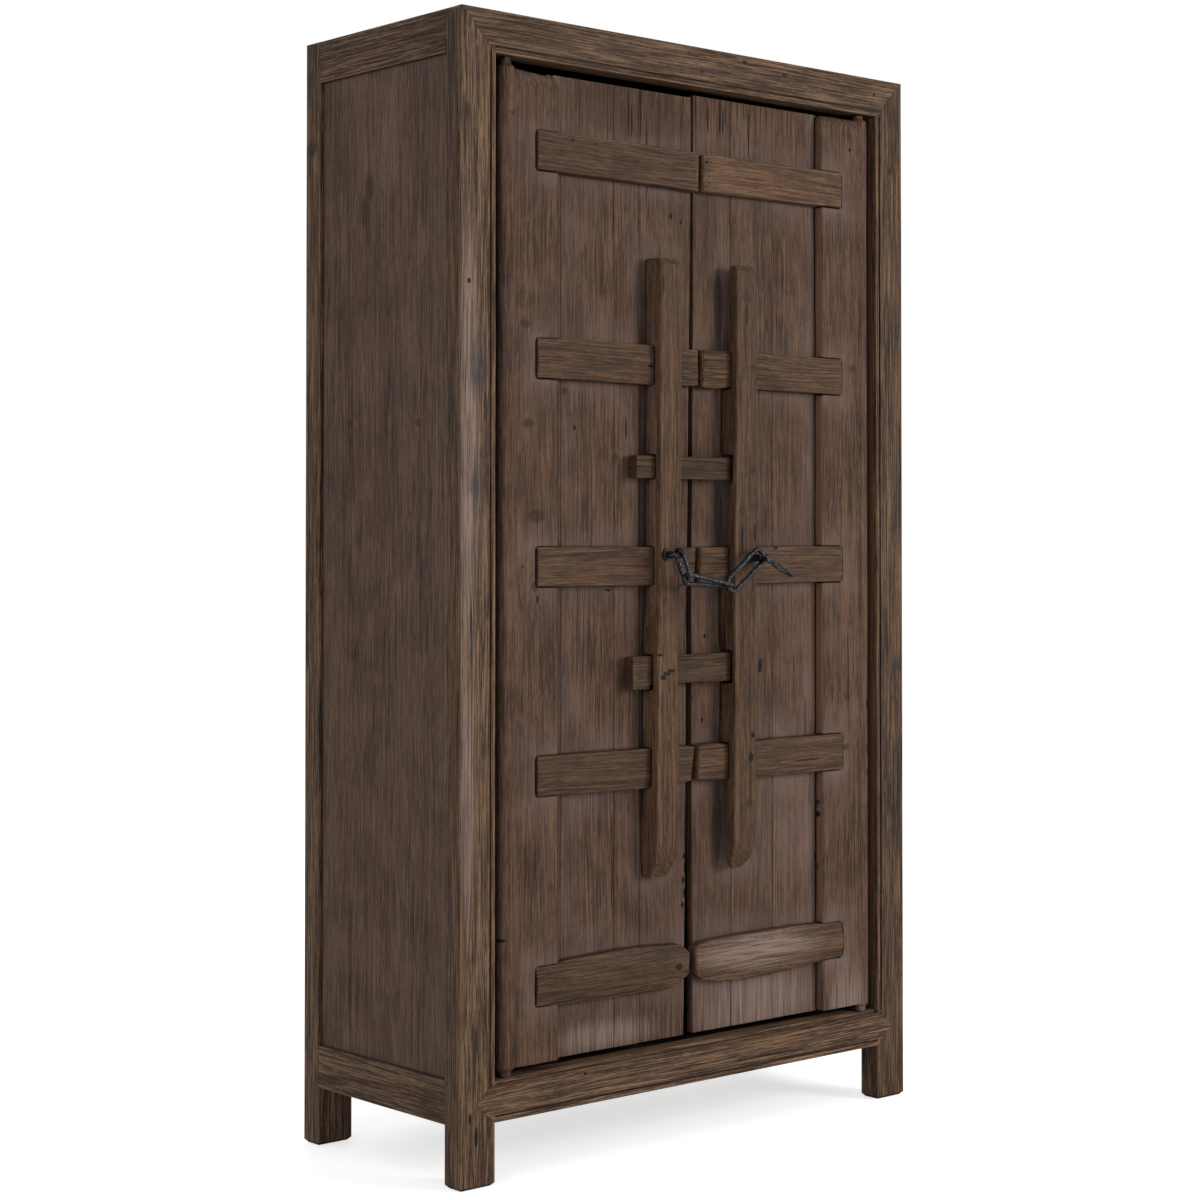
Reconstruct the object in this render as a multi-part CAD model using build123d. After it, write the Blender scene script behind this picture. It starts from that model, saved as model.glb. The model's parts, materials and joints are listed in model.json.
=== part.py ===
from build123d import *

import os
from math import cos, radians, sin, sqrt

# Chinese book cabinet with a pair of plank doors on wooden pivots, two wooden sliding bolts and an
# iron chain latch.  Millimetres, +Z up.  X runs across the cabinet from its centre line, Y runs from
# front to back.  "Depth" is measured backwards from the front faces of the posts, so a negative depth
# stands proud of the case.  "Out" is the distance from the centre line towards either side.

# ---------------------------------------------------------------- case
CASE_WIDTH = 1105.0
CASE_DEPTH = 462.0
CASE_HEIGHT = 2000.0
POST_WIDTH = 74.0
POST_DEPTH = 44.0
FOOT_HEIGHT = 106.0
FRONT_TOP_RAIL_HEIGHT = 73.0
FRONT_BOTTOM_RAIL_HEIGHT = 70.0
SIDE_RAIL_HEIGHT = 75.0
SIDE_RAIL_THICKNESS = 30.0
BACK_RAIL_HEIGHT = 75.0
BACK_RAIL_THICKNESS = 30.0
BACK_RAIL_SHARE = 0.523

CHEEK_THICKNESS = 14.0
ARROW_REACH = 39.0
TENON_THICKNESS = 12.0
TENON_SHOULDER = 12.0
FRONT_TENON_LENGTH = 46.0
SIDE_TENON_LENGTH = 22.0
SIDE_TENON_TOP_SHOULDER = 26.0
BEAD_INSET = 9.0
BEAD_GROOVE = 3.0
MOULDING_STEP = 7.0
FOOT_CHAMFER = 6.0

SIDE_PANEL_THICKNESS = 12.0
SIDE_PANEL_RECESS = 8.0
BACK_BOARD_THICKNESS = 12.0
BACK_BOARD_RECESS = 8.0
BACK_BOARD_COUNT = 4
PANEL_TONGUE = 8.0
TOP_BOARD_THICKNESS = 16.0
TOP_BOARD_LAP = 14.0
FLOOR_BOARD_THICKNESS = 18.0
FLOOR_BOARD_DROP = 16.0

SHELF_THICKNESS = 20.0
SHELF_SHARES = {"lower": 0.28, "middle": 0.495, "upper": 0.72}
SHELF_FRONT_DEPTH = 66.0
BEARER_HEIGHT = 30.0
BEARER_THICKNESS = 22.0

# ---------------------------------------------------------------- doors
PIVOT_INSET = 108.0
PIVOT_DEPTH = 17.0
COLUMN_RADIUS = 17.5
NECK_RADIUS = 12.0
PIN_RADIUS = 9.0
PIN_LENGTH = 26.0
PIN_CLEARANCE = 0.1
DOOR_GAP = 7.0
DOOR_BOTTOM_GAP = 13.0
DOOR_TOP_GAPS = {"left": 16.0, "right": 11.0}
STILE_FRONT_DEPTH = 5.0
STILE_THICKNESS = 38.0
STILE_REACH = 114.0
STILE_TOP_BEVEL = 16.0
QUIRK = 3.0
BOARD_FRONT_DEPTH = 25.0
BOARD_THICKNESS = 16.0
BOARD_TONGUE = 10.0
BOARD_TONGUE_THICKNESS = 8.0
BOARD_EDGES = {"left": (187.0, 126.0), "right": (214.0, 104.0)}

BATTEN_HEIGHT = 68.0
BATTEN_THICKNESS = 25.0
LOWEST_BATTEN_RISE = 146.0
HIGHEST_BATTEN_DROP = 156.0
BATTEN_COUNT = 5
BATTEN_HOUSING = 53.0
BATTEN_END_ROUND = 9.0

POLE_THICKNESS = 43.0
POLE_REACH_BELOW = 199.25
POLE_REACH_ABOVE = 193.25
POLE_INNER = {"left": 53.5, "right": 82.5}
POLE_WIDTH = {"left": 58.0, "right": 54.0}
POLE_ARRIS = 6.0
POLE_END_BEVEL = 16.0
RIGHT_POLE_BAR = 23.0

# ---------------------------------------------------------------- wooden bolts
BOLT_THICKNESS = 22.0
BOLT_FRONT_DEPTH = -1.0
BOLT_END_GAP = 4.0
BOLT_SIDE_CLEARANCE = 1.0
BOLT_SEAT_CLEARANCE = 0.3
BOLT_STUB = 44.0
BOLT_DROPS = {"upper": 2.625, "lower": 6.375}
BOLT_HEIGHTS = {"upper": 42.0, "lower": 52.0}
LOWER_BOLT_HEAD = 8.0
HEAD_RECESS_DEPTH = 28.0
SOCKET_DEPTH = 32.0
SOCKET_CLEARANCE = 4.0
SOCKET_FRONT_CLEARANCE = 6.0

# ---------------------------------------------------------------- iron latch
LINK_ROD = 3.2
HASP_ROD = 3.8
RING_ROD = 4.8
RING_RADIUS = 11.0
SHANK_RADIUS = 6.0
STAPLE_RADIUS = 6.0
TANG_RADIUS = 4.0
TANG_LENGTH = 16.0
TANG_CLEARANCE = 0.1
FLANGE_RADIUS = 9.5
FLANGE_THICKNESS = 3.0
EYE_OUT = 99.5
EYE_RISE = 20.5
RING_STAND_OFF = 36.5
LINK_HALF_WIDTH = 9.5
LINK_1_DROP = 43.3
LINK_1_SHIFT = 17.4
LINK_2_HALF_WIDTH = 8.8
LINK_2_LENGTH = 101.5
LINK_2_DROP = 12.4
LINK_2_LEAN = 2.0
LINK_2_START_TILT = 8.0
LINK_2_END_TILT = 82.0
LINK_PLAY = 0.5
HASP_HALF_WIDTH = 14.5
STAPLE_OUT = 115.6
STAPLE_RISE = 13.5
STAPLE_LENGTH = 46.0
HASP_STAND_OFF = 21.0
HASP_REST_GAP = 0.4
HASP_RISE = 3.0
HAIRPIN_ROD = 2.0
HAIRPIN_HALF_GAP = 4.75
HAIRPIN_STAND_OFF = 37.5
HAIRPIN_SLOPE = 25.7
HAIRPIN_TAIL = 74.0
HAIRPIN_TIP_RADIUS = 2.2
HAIRPIN_STRAIGHT = 14.0
HAIRPIN_SLOT_CLEARANCE = 0.4

# ---------------------------------------------------------------- worked out from the sizes above
HALF_WIDTH = CASE_WIDTH / 2
POST_INNER = HALF_WIDTH - POST_WIDTH
POLE_FRONT_DEPTH = BOARD_FRONT_DEPTH - POLE_THICKNESS
BATTEN_FRONT_DEPTH = BOARD_FRONT_DEPTH - BATTEN_THICKNESS
LINK_1_FRONT_DEPTH = POLE_FRONT_DEPTH - RING_STAND_OFF - LINK_HALF_WIDTH - LINK_ROD
CASE_FRONT = -(CASE_DEPTH - LINK_1_FRONT_DEPTH) / 2 - LINK_1_FRONT_DEPTH
FRONT_TOP_RAIL_BOTTOM = CASE_HEIGHT - FRONT_TOP_RAIL_HEIGHT
FRONT_BOTTOM_RAIL_TOP = FOOT_HEIGHT + FRONT_BOTTOM_RAIL_HEIGHT
SIDE_TOP_RAIL_BOTTOM = CASE_HEIGHT - SIDE_RAIL_HEIGHT
SIDE_BOTTOM_RAIL_TOP = FOOT_HEIGHT + SIDE_RAIL_HEIGHT
SIDE_PANEL_INNER = HALF_WIDTH - SIDE_PANEL_RECESS - SIDE_PANEL_THICKNESS
BACK_BOARD_BACK = CASE_DEPTH - BACK_BOARD_RECESS
BACK_BOARD_FRONT = BACK_BOARD_BACK - BACK_BOARD_THICKNESS
FLOOR_TOP = FRONT_BOTTOM_RAIL_TOP - FLOOR_BOARD_DROP
PIVOT_OUT = HALF_WIDTH - PIVOT_INSET
STILE_INNER = PIVOT_OUT - STILE_REACH
STILE_BACK_DEPTH = STILE_FRONT_DEPTH + STILE_THICKNESS
BATTEN_OUTER = STILE_INNER + BATTEN_HOUSING
DOOR_BOTTOM = FRONT_BOTTOM_RAIL_TOP + DOOR_BOTTOM_GAP
DOOR_TOPS = {side: FRONT_TOP_RAIL_BOTTOM - gap for side, gap in DOOR_TOP_GAPS.items()}
LOWEST_BATTEN = FRONT_BOTTOM_RAIL_TOP + LOWEST_BATTEN_RISE
HIGHEST_BATTEN = FRONT_TOP_RAIL_BOTTOM - HIGHEST_BATTEN_DROP
BATTEN_PITCH = (HIGHEST_BATTEN - LOWEST_BATTEN) / (BATTEN_COUNT - 1)
BATTEN_MIDDLES = [LOWEST_BATTEN + BATTEN_PITCH * i for i in range(BATTEN_COUNT)]
POLED_BATTENS = BATTEN_MIDDLES[1:-1]
DOOR_INNER = DOOR_GAP / 2
POLE_BOTTOM = POLED_BATTENS[0] - POLE_REACH_BELOW
POLE_TOP = POLED_BATTENS[-1] + POLE_REACH_ABOVE
LATCH_BATTEN = BATTEN_MIDDLES[BATTEN_COUNT // 2]
EYE_HEIGHT = LATCH_BATTEN + EYE_RISE
STAPLE_HEIGHT = LATCH_BATTEN + STAPLE_RISE
BOLT_MIDDLES = {"upper": LATCH_BATTEN + BATTEN_PITCH / 2 - BOLT_DROPS["upper"],
                "lower": LATCH_BATTEN - BATTEN_PITCH / 2 - BOLT_DROPS["lower"]}
BACK_RAIL_MIDDLE = CASE_HEIGHT * BACK_RAIL_SHARE
SHELF_HEIGHTS = {level: CASE_HEIGHT * share for level, share in SHELF_SHARES.items()}
BOLT_REACH = POLE_INNER["right"] - BOLT_END_GAP

SIDES = {"left": -1, "right": 1}


def block(x_ends, depth_ends, z_ends):
    """Square-edged timber between two X values, two depths and two heights."""
    x, d, z = sorted(x_ends), sorted(depth_ends), sorted(z_ends)
    size = (x[1] - x[0], d[1] - d[0], z[1] - z[0])
    middle = ((x[0] + x[1]) / 2, CASE_FRONT + (d[0] + d[1]) / 2, (z[0] + z[1]) / 2)
    return Pos(*middle) * Box(*size)


def side_block(side, out_ends, depth_ends, z_ends):
    """A block on one side of the cabinet, placed by its distances out from the centre line."""
    return block([SIDES[side] * out for out in out_ends], depth_ends, z_ends)


def front_prism(corners, depth_ends):
    """A flat outline of (x, z) corners in the front plane, as thick as the two depths are apart."""
    near, far = sorted(depth_ends)
    plane = Plane(origin=(0, CASE_FRONT + far, 0), x_dir=(1, 0, 0), z_dir=(0, -1, 0))
    outline = make_face(Polyline(*corners, close=True).edges())
    return extrude(plane * outline, far - near)


def upright(side, out, depth, radius, z_ends):
    """A round upright of a door, standing between two heights."""
    low, high = z_ends
    centre = (SIDES[side] * out, CASE_FRONT + depth, (low + high) / 2)
    return Pos(*centre) * Cylinder(radius, high - low)


def cut(shape, *tools):
    """The shape with every tool taken out of it."""
    for tool in tools:
        shape = shape - tool
    return shape


def edges_near(shape, axis, position):
    """Edges along an axis whose centres lie at a position given as {Axis: value}."""
    chosen = shape.edges().filter_by(axis)
    for other, value in position.items():
        chosen = chosen.filter_by_position(other, value - 0.01, value + 0.01)
    return chosen


# ---------------------------------------------------------------- case pieces
def front_top_rail():
    """Top rail with cheeks mitred to the posts, and a tenon behind each mitre."""
    top, bottom = CASE_HEIGHT, FRONT_TOP_RAIL_BOTTOM
    mitred = [(-HALF_WIDTH, top), (HALF_WIDTH, top), (POST_INNER, bottom), (-POST_INNER, bottom)]
    rail = front_prism(mitred, (0, CHEEK_THICKNESS))
    rail += block((-POST_INNER, POST_INNER), (CHEEK_THICKNESS, POST_DEPTH), (bottom, top))
    tenon_back = CHEEK_THICKNESS + TENON_THICKNESS
    tenon_end = POST_INNER + FRONT_TENON_LENGTH
    rail += block((-tenon_end, tenon_end), (CHEEK_THICKNESS, tenon_back),
                  (bottom + TENON_SHOULDER, top - TENON_SHOULDER))
    groove_low = bottom + BEAD_INSET
    return cut(rail, block((-POST_INNER, POST_INNER), (0, BEAD_GROOVE),
                           (groove_low, groove_low + BEAD_GROOVE)))


def front_bottom_rail():
    """Bottom rail with arrow-shaped cheeks let into the posts and a stepped top edge."""
    top, bottom = FRONT_BOTTOM_RAIL_TOP, FOOT_HEIGHT
    tip, middle = POST_INNER + ARROW_REACH, (top + bottom) / 2
    arrow = [(-POST_INNER, bottom), (POST_INNER, bottom), (tip, middle), (POST_INNER, top),
             (-POST_INNER, top), (-tip, middle)]
    rail = front_prism(arrow, (0, CHEEK_THICKNESS))
    rail += block((-POST_INNER, POST_INNER), (CHEEK_THICKNESS, POST_DEPTH), (bottom, top))
    tenon_back = CHEEK_THICKNESS + TENON_THICKNESS
    tenon_end = POST_INNER + FRONT_TENON_LENGTH
    rail += block((-tenon_end, tenon_end), (CHEEK_THICKNESS, tenon_back),
                  (bottom + TENON_SHOULDER, top - TENON_SHOULDER))
    step = block((-POST_INNER, POST_INNER), (0, MOULDING_STEP), (top - MOULDING_STEP, top))
    bead_top = bottom + BEAD_INSET + BEAD_GROOVE
    bead = block((-POST_INNER, POST_INNER), (0, BEAD_GROOVE), (bottom + BEAD_INSET, bead_top))
    return cut(rail, step, bead)


def side_rail(side, z_ends, tenon_top_shoulder):
    """Side rail between a front and a back post, with a stub tenon in each."""
    inner = HALF_WIDTH - SIDE_RAIL_THICKNESS
    back = CASE_DEPTH - POST_DEPTH
    rail = side_block(side, (inner, HALF_WIDTH), (POST_DEPTH, back), z_ends)
    tenon_out = inner + (SIDE_RAIL_THICKNESS - TENON_THICKNESS) / 2
    tenon = side_block(side, (tenon_out, tenon_out + TENON_THICKNESS),
                       (POST_DEPTH - SIDE_TENON_LENGTH, back + SIDE_TENON_LENGTH),
                       (z_ends[0] + TENON_SHOULDER, z_ends[1] - tenon_top_shoulder))
    return rail + tenon


def back_rail(z_ends, depth_ends):
    """Back rail between the back posts, with a tenon at each end."""
    rail = block((-POST_INNER, POST_INNER), depth_ends, z_ends)
    middle = sum(depth_ends) / 2
    tenon_end = POST_INNER + SIDE_TENON_LENGTH
    tenon = block((-tenon_end, tenon_end),
                  (middle - TENON_THICKNESS / 2, middle + TENON_THICKNESS / 2),
                  (z_ends[0] + TENON_SHOULDER, z_ends[1] - TENON_SHOULDER))
    return rail + tenon


def post_blank(side, place):
    """Square post before its joints are cut."""
    start = 0 if place == "front" else CASE_DEPTH - POST_DEPTH
    return side_block(side, (POST_INNER, HALF_WIDTH), (start, start + POST_DEPTH), (0, CASE_HEIGHT))


def post(side, place, joined):
    """Post with mortises for what joins it, a worn foot and, at the front, a beaded inner edge."""
    body = post_blank(side, place)
    body = chamfer(body.faces().sort_by(Axis.Z)[0].edges(), FOOT_CHAMFER)
    if place == "front":
        groove_out = POST_INNER + BEAD_INSET
        body -= side_block(side, (groove_out, groove_out + BEAD_GROOVE), (0, BEAD_GROOVE),
                           (FRONT_BOTTOM_RAIL_TOP, FRONT_TOP_RAIL_BOTTOM))
    return cut(body, *joined)


def side_panel(side):
    """Thin panel, recessed behind the side rails and tongued into its frame."""
    outer = SIDE_PANEL_INNER + SIDE_PANEL_THICKNESS
    return side_block(side, (SIDE_PANEL_INNER, outer),
                      (POST_DEPTH - PANEL_TONGUE, CASE_DEPTH - POST_DEPTH + PANEL_TONGUE),
                      (SIDE_BOTTOM_RAIL_TOP - PANEL_TONGUE, SIDE_TOP_RAIL_BOTTOM + PANEL_TONGUE))


def back_board(index):
    """One of the upright back boards, tongued into the back frame."""
    width = 2 * (POST_INNER + PANEL_TONGUE) / BACK_BOARD_COUNT
    left = -(POST_INNER + PANEL_TONGUE) + index * width
    return block((left, left + width), (BACK_BOARD_FRONT, BACK_BOARD_BACK),
                 (FOOT_HEIGHT + BACK_RAIL_HEIGHT - PANEL_TONGUE,
                  CASE_HEIGHT - BACK_RAIL_HEIGHT + PANEL_TONGUE))


def inner_board(z_ends, out, depth_ends, post_blanks):
    """A level board inside the case, notched round the posts."""
    return cut(block((-out, out), depth_ends, z_ends), *post_blanks)


def bearer(side, shelf_bottom):
    """Bearer under one end of a shelf, fixed between the posts against the side panel."""
    return side_block(side, (SIDE_PANEL_INNER - BEARER_THICKNESS, SIDE_PANEL_INNER),
                      (POST_DEPTH, CASE_DEPTH - POST_DEPTH),
                      (shelf_bottom - BEARER_HEIGHT, shelf_bottom))


# ---------------------------------------------------------------- door pieces
def stile(side, battens, boards):
    """Outer door stile with its round pivot column, necks and pins."""
    top = DOOR_TOPS[side]
    heights = (DOOR_BOTTOM, top)
    column_inner = PIVOT_OUT - COLUMN_RADIUS
    plank = side_block(side, (STILE_INNER, PIVOT_OUT), (STILE_FRONT_DEPTH, STILE_BACK_DEPTH), heights)
    top_front = edges_near(plank, Axis.X, {Axis.Y: CASE_FRONT + STILE_FRONT_DEPTH, Axis.Z: top})
    plank = chamfer(top_front, STILE_TOP_BEVEL, STILE_TOP_BEVEL / 2)
    plank -= side_block(side, (column_inner, column_inner - QUIRK),
                        (STILE_FRONT_DEPTH, STILE_FRONT_DEPTH + QUIRK), heights)
    column = upright(side, PIVOT_OUT, PIVOT_DEPTH, COLUMN_RADIUS, heights)
    neck = upright(side, PIVOT_OUT, PIVOT_DEPTH, NECK_RADIUS,
                   (FRONT_BOTTOM_RAIL_TOP, FRONT_TOP_RAIL_BOTTOM - PIN_CLEARANCE))
    pin = upright(side, PIVOT_OUT, PIVOT_DEPTH, PIN_RADIUS,
                  (FRONT_BOTTOM_RAIL_TOP - PIN_LENGTH, FRONT_TOP_RAIL_BOTTOM + PIN_LENGTH))
    return cut(plank + column + neck + pin, *battens, *boards)


def pivot_holes():
    """Blind holes in the front rails in which the door pins turn."""
    holes = []
    reach = PIN_LENGTH + PIN_CLEARANCE * 10
    for side in SIDES:
        for z_ends in ((FRONT_BOTTOM_RAIL_TOP - reach, FRONT_BOTTOM_RAIL_TOP),
                       (FRONT_TOP_RAIL_BOTTOM, FRONT_TOP_RAIL_BOTTOM + reach)):
            holes.append(upright(side, PIVOT_OUT, PIVOT_DEPTH, PIN_RADIUS + PIN_CLEARANCE, z_ends))
    return holes


def door_boards(side):
    """Face boards from the stile to the meeting edge; the first has a tongue in the stile."""
    edges = (STILE_INNER, *BOARD_EDGES[side], DOOR_INNER)
    heights = (DOOR_BOTTOM, DOOR_TOPS[side])
    depths = (BOARD_FRONT_DEPTH, BOARD_FRONT_DEPTH + BOARD_THICKNESS)
    boards = [side_block(side, ends, depths, heights) for ends in zip(edges[1:], edges[:-1])]
    tongue_front = BOARD_FRONT_DEPTH + (BOARD_THICKNESS - BOARD_TONGUE_THICKNESS) / 2
    boards[0] += side_block(side, (STILE_INNER, STILE_INNER + BOARD_TONGUE),
                            (tongue_front, tongue_front + BOARD_TONGUE_THICKNESS), heights)
    return boards


def batten(side, middle):
    """Cross batten, housed in the stile and rounded at the meeting edge."""
    body = side_block(side, (DOOR_INNER, BATTEN_OUTER), (BATTEN_FRONT_DEPTH, BOARD_FRONT_DEPTH),
                      (middle - BATTEN_HEIGHT / 2, middle + BATTEN_HEIGHT / 2))
    end = edges_near(body, Axis.Z, {Axis.X: SIDES[side] * DOOR_INNER,
                                    Axis.Y: CASE_FRONT + BATTEN_FRONT_DEPTH})
    return fillet(end, BATTEN_END_ROUND)


def pole(side, battens, hollows):
    """Thick upright pole, notched over the battens, with worn arrises and bevelled ends."""
    inner = POLE_INNER[side]
    outer = inner + POLE_WIDTH[side]
    body = side_block(side, (inner, outer), (POLE_FRONT_DEPTH, BOARD_FRONT_DEPTH),
                      (POLE_BOTTOM, POLE_TOP))
    front = {Axis.Y: CASE_FRONT + POLE_FRONT_DEPTH}
    bottom = edges_near(body, Axis.X, {**front, Axis.Z: POLE_BOTTOM})
    body = chamfer(bottom, 2 * POLE_END_BEVEL, POLE_END_BEVEL)
    top = edges_near(body, Axis.X, {**front, Axis.Z: POLE_TOP})
    body = chamfer(top, POLE_END_BEVEL / 2)
    body = fillet(edges_near(body, Axis.Z, front), POLE_ARRIS)
    return cut(body, *battens, *hollows)


def bolt_heights(level):
    """Lowest and highest point of a bolt's bar."""
    half = BOLT_HEIGHTS[level] / 2
    return BOLT_MIDDLES[level] - half, BOLT_MIDDLES[level] + half


def bolt(level):
    """Sliding bolt with its grip left of the left pole and its nose at the right pole's socket."""
    low, high = bolt_heights(level)
    pole_outer = POLE_INNER["left"] + POLE_WIDTH["left"]
    depths = (BOLT_FRONT_DEPTH, BOLT_FRONT_DEPTH + BOLT_THICKNESS)
    bar = block((-pole_outer - BOLT_STUB, BOLT_REACH), depths, (low, high))
    if level == "lower":
        bar += block((-pole_outer - BOLT_STUB, -pole_outer - BOLT_SIDE_CLEARANCE), depths,
                     (low - LOWER_BOLT_HEAD, high))
    return bar


def mortise(level):
    """Passage for a bolt between the left pole and the door boards."""
    low, high = bolt_heights(level)
    inner = POLE_INNER["left"]
    return side_block("left", (inner, inner + POLE_WIDTH["left"]),
                      (BOLT_FRONT_DEPTH - BOLT_SIDE_CLEARANCE, BOARD_FRONT_DEPTH),
                      (low - BOLT_SEAT_CLEARANCE, high + BOLT_SIDE_CLEARANCE))


def head_recess():
    """Recess in the left pole that takes the lower bolt's deeper head when the bolt is driven home."""
    low, high = bolt_heights("lower")
    outer = POLE_INNER["left"] + POLE_WIDTH["left"]
    return side_block("left", (outer - HEAD_RECESS_DEPTH, outer),
                      (BOLT_FRONT_DEPTH - BOLT_SIDE_CLEARANCE, BOARD_FRONT_DEPTH),
                      (low - LOWER_BOLT_HEAD - BOLT_SIDE_CLEARANCE, high))


def socket_heights(level):
    """Lowest and highest point of a bolt's socket in the right pole."""
    low, high = bolt_heights(level)
    return low - SOCKET_CLEARANCE, high + SOCKET_CLEARANCE


def socket(level):
    """Roomy socket for a bolt's nose in the right pole."""
    inner = POLE_INNER["right"]
    return side_block("right", (inner, inner + SOCKET_DEPTH),
                      (BOLT_FRONT_DEPTH - SOCKET_FRONT_CLEARANCE, BOARD_FRONT_DEPTH),
                      socket_heights(level))


def finger_hollows():
    """Hollows behind the right pole, where the fingers grip it."""
    inner = POLE_INNER["right"]
    outs = (inner, inner + POLE_WIDTH["right"])
    depths = (POLE_FRONT_DEPTH + RIGHT_POLE_BAR, BOARD_FRONT_DEPTH)
    half = BATTEN_HEIGHT / 2
    spans = ((POLE_BOTTOM, POLED_BATTENS[0] - half),
             (LATCH_BATTEN + half, socket_heights("upper")[0]),
             (POLED_BATTENS[-1] + half, POLE_TOP))
    return [side_block("right", outs, depths, span) for span in spans]


# ---------------------------------------------------------------- latch pieces
def at(x, depth, z):
    """A point given by its depth behind the case front."""
    return Vector(x, CASE_FRONT + depth, z)


def rod(start, end, radius):
    """Round iron rod between two points."""
    plane = Plane(origin=start, z_dir=end - start)
    return extrude(plane * Circle(radius), (end - start).length)


def half_ring(centre, crown, across, radius, rod_radius):
    """Half a torus whose open ends lie across the centre and whose crown points along crown."""
    plane = Plane(origin=centre, x_dir=across, z_dir=across.cross(crown))
    return plane.location * Torus(radius, rod_radius, major_angle=180, align=None)


def chain_loop(start, end, across_start, across_end, half_width, rod_radius):
    """Closed loop of rod with round ends about two centres; its ends may be turned to each other."""
    along = (end - start).normalized()
    first = (across_start - along * across_start.dot(along)).normalized()
    last = (across_end - along * across_end.dot(along)).normalized()
    loop = half_ring(start, along * -1, first, half_width, rod_radius)
    loop += half_ring(end, along, last, half_width, rod_radius)
    for sign in (1, -1):
        corners = [start + first * half_width * sign, end + last * half_width * sign]
        loop += rod(*corners, rod_radius)
        if first.dot(last) < 0.999:
            for corner in corners:
                loop += Pos(*corner) * Sphere(rod_radius)
    return loop


def flange_and_tang(x, z):
    """Flange that bears on a pole's front, and the tang driven into the pole."""
    pole_front = at(x, POLE_FRONT_DEPTH, z)
    forwards = Vector(0, -1, 0)
    flange = rod(pole_front, pole_front + forwards * FLANGE_THICKNESS, FLANGE_RADIUS)
    return flange + rod(pole_front - forwards * TANG_LENGTH, pole_front, TANG_RADIUS)


def tang_hole(x, z):
    """Hole in a pole for a tang."""
    pole_front = at(x, POLE_FRONT_DEPTH, z)
    depth = TANG_LENGTH + 10 * TANG_CLEARANCE
    return rod(pole_front, pole_front + Vector(0, depth, 0), TANG_RADIUS + TANG_CLEARANCE)


RING_CENTRE = at(-EYE_OUT, POLE_FRONT_DEPTH - RING_STAND_OFF + RING_RADIUS, EYE_HEIGHT)
LINK_1_TOP = at(-EYE_OUT, POLE_FRONT_DEPTH - RING_STAND_OFF, EYE_HEIGHT)
LINK_1_CROWN = LINK_1_TOP + Vector(LINK_1_SHIFT, 0, -LINK_1_DROP)
LINK_1_LINE = (LINK_1_CROWN - LINK_1_TOP).normalized()
LINK_2_LINE = Vector(LINK_2_LENGTH, LINK_2_LEAN, -LINK_2_DROP).normalized()
LINK_2_START = LINK_1_CROWN + LINK_2_LINE * (LINK_2_HALF_WIDTH - 2 * LINK_ROD - LINK_PLAY)
LINK_2_END = LINK_2_START + LINK_2_LINE * LINK_2_LENGTH
LINK_2_CROWN = LINK_2_END + LINK_2_LINE * LINK_2_HALF_WIDTH
STAPLE_CENTRE = at(STAPLE_OUT, POLE_FRONT_DEPTH - HASP_STAND_OFF, STAPLE_HEIGHT)


def hasp_frame():
    """The hasp's two end centres: one crown holds the second link's crown, the other the staple."""
    towards = (STAPLE_CENTRE - LINK_2_CROWN).normalized()
    upwards = towards.cross(Vector(0, 1, 0)).normalized()
    reach = HASP_HALF_WIDTH - HASP_ROD - STAPLE_RADIUS - HASP_REST_GAP
    end = STAPLE_CENTRE - towards * sqrt(reach ** 2 - HASP_RISE ** 2) + upwards * HASP_RISE
    towards = (end - LINK_2_CROWN).normalized()
    start = LINK_2_CROWN + towards * (HASP_HALF_WIDTH - HASP_ROD - LINK_ROD - LINK_PLAY)
    return start, end, upwards


def tilted(degrees):
    """Upright direction leant forwards by an angle."""
    return Vector(0, -sin(radians(degrees)), cos(radians(degrees)))


def eye_bolt():
    """Bolt in the left pole with a level ring that carries the chain."""
    shank_end = RING_CENTRE + Vector(0, RING_RADIUS, 0)
    shank = rod(at(-EYE_OUT, POLE_FRONT_DEPTH, EYE_HEIGHT), shank_end, SHANK_RADIUS)
    ring = Pos(*RING_CENTRE) * Torus(RING_RADIUS, RING_ROD)
    return flange_and_tang(-EYE_OUT, EYE_HEIGHT) + shank + ring


def hairpin_path():
    """Points of the hairpin's slope: its direction and where it passes through the staple."""
    direction = Vector(1, 0, 0).rotate(Axis.Y, HAIRPIN_SLOPE)
    centre = at(STAPLE_OUT, POLE_FRONT_DEPTH - HAIRPIN_STAND_OFF, STAPLE_HEIGHT)
    return direction, centre


def hairpin():
    """Iron hairpin: two legs through the staple that meet in a round tip."""
    direction, centre = hairpin_path()
    tip = centre + direction * HAIRPIN_TAIL
    pin = half_ring(tip, direction, Vector(0, 1, 0), HAIRPIN_TIP_RADIUS, HAIRPIN_ROD)
    for sign in (1, -1):
        wide = Vector(0, sign * HAIRPIN_HALF_GAP, 0)
        knee = centre + direction * HAIRPIN_STRAIGHT + wide
        corner = tip + Vector(0, sign * HAIRPIN_TIP_RADIUS, 0)
        pin += rod(centre - direction * HAIRPIN_STRAIGHT + wide, knee, HAIRPIN_ROD)
        pin += rod(knee, corner, HAIRPIN_ROD)
        pin += Pos(*knee) * Sphere(HAIRPIN_ROD)
        pin += Pos(*corner) * Sphere(HAIRPIN_ROD)
    return pin


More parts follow.
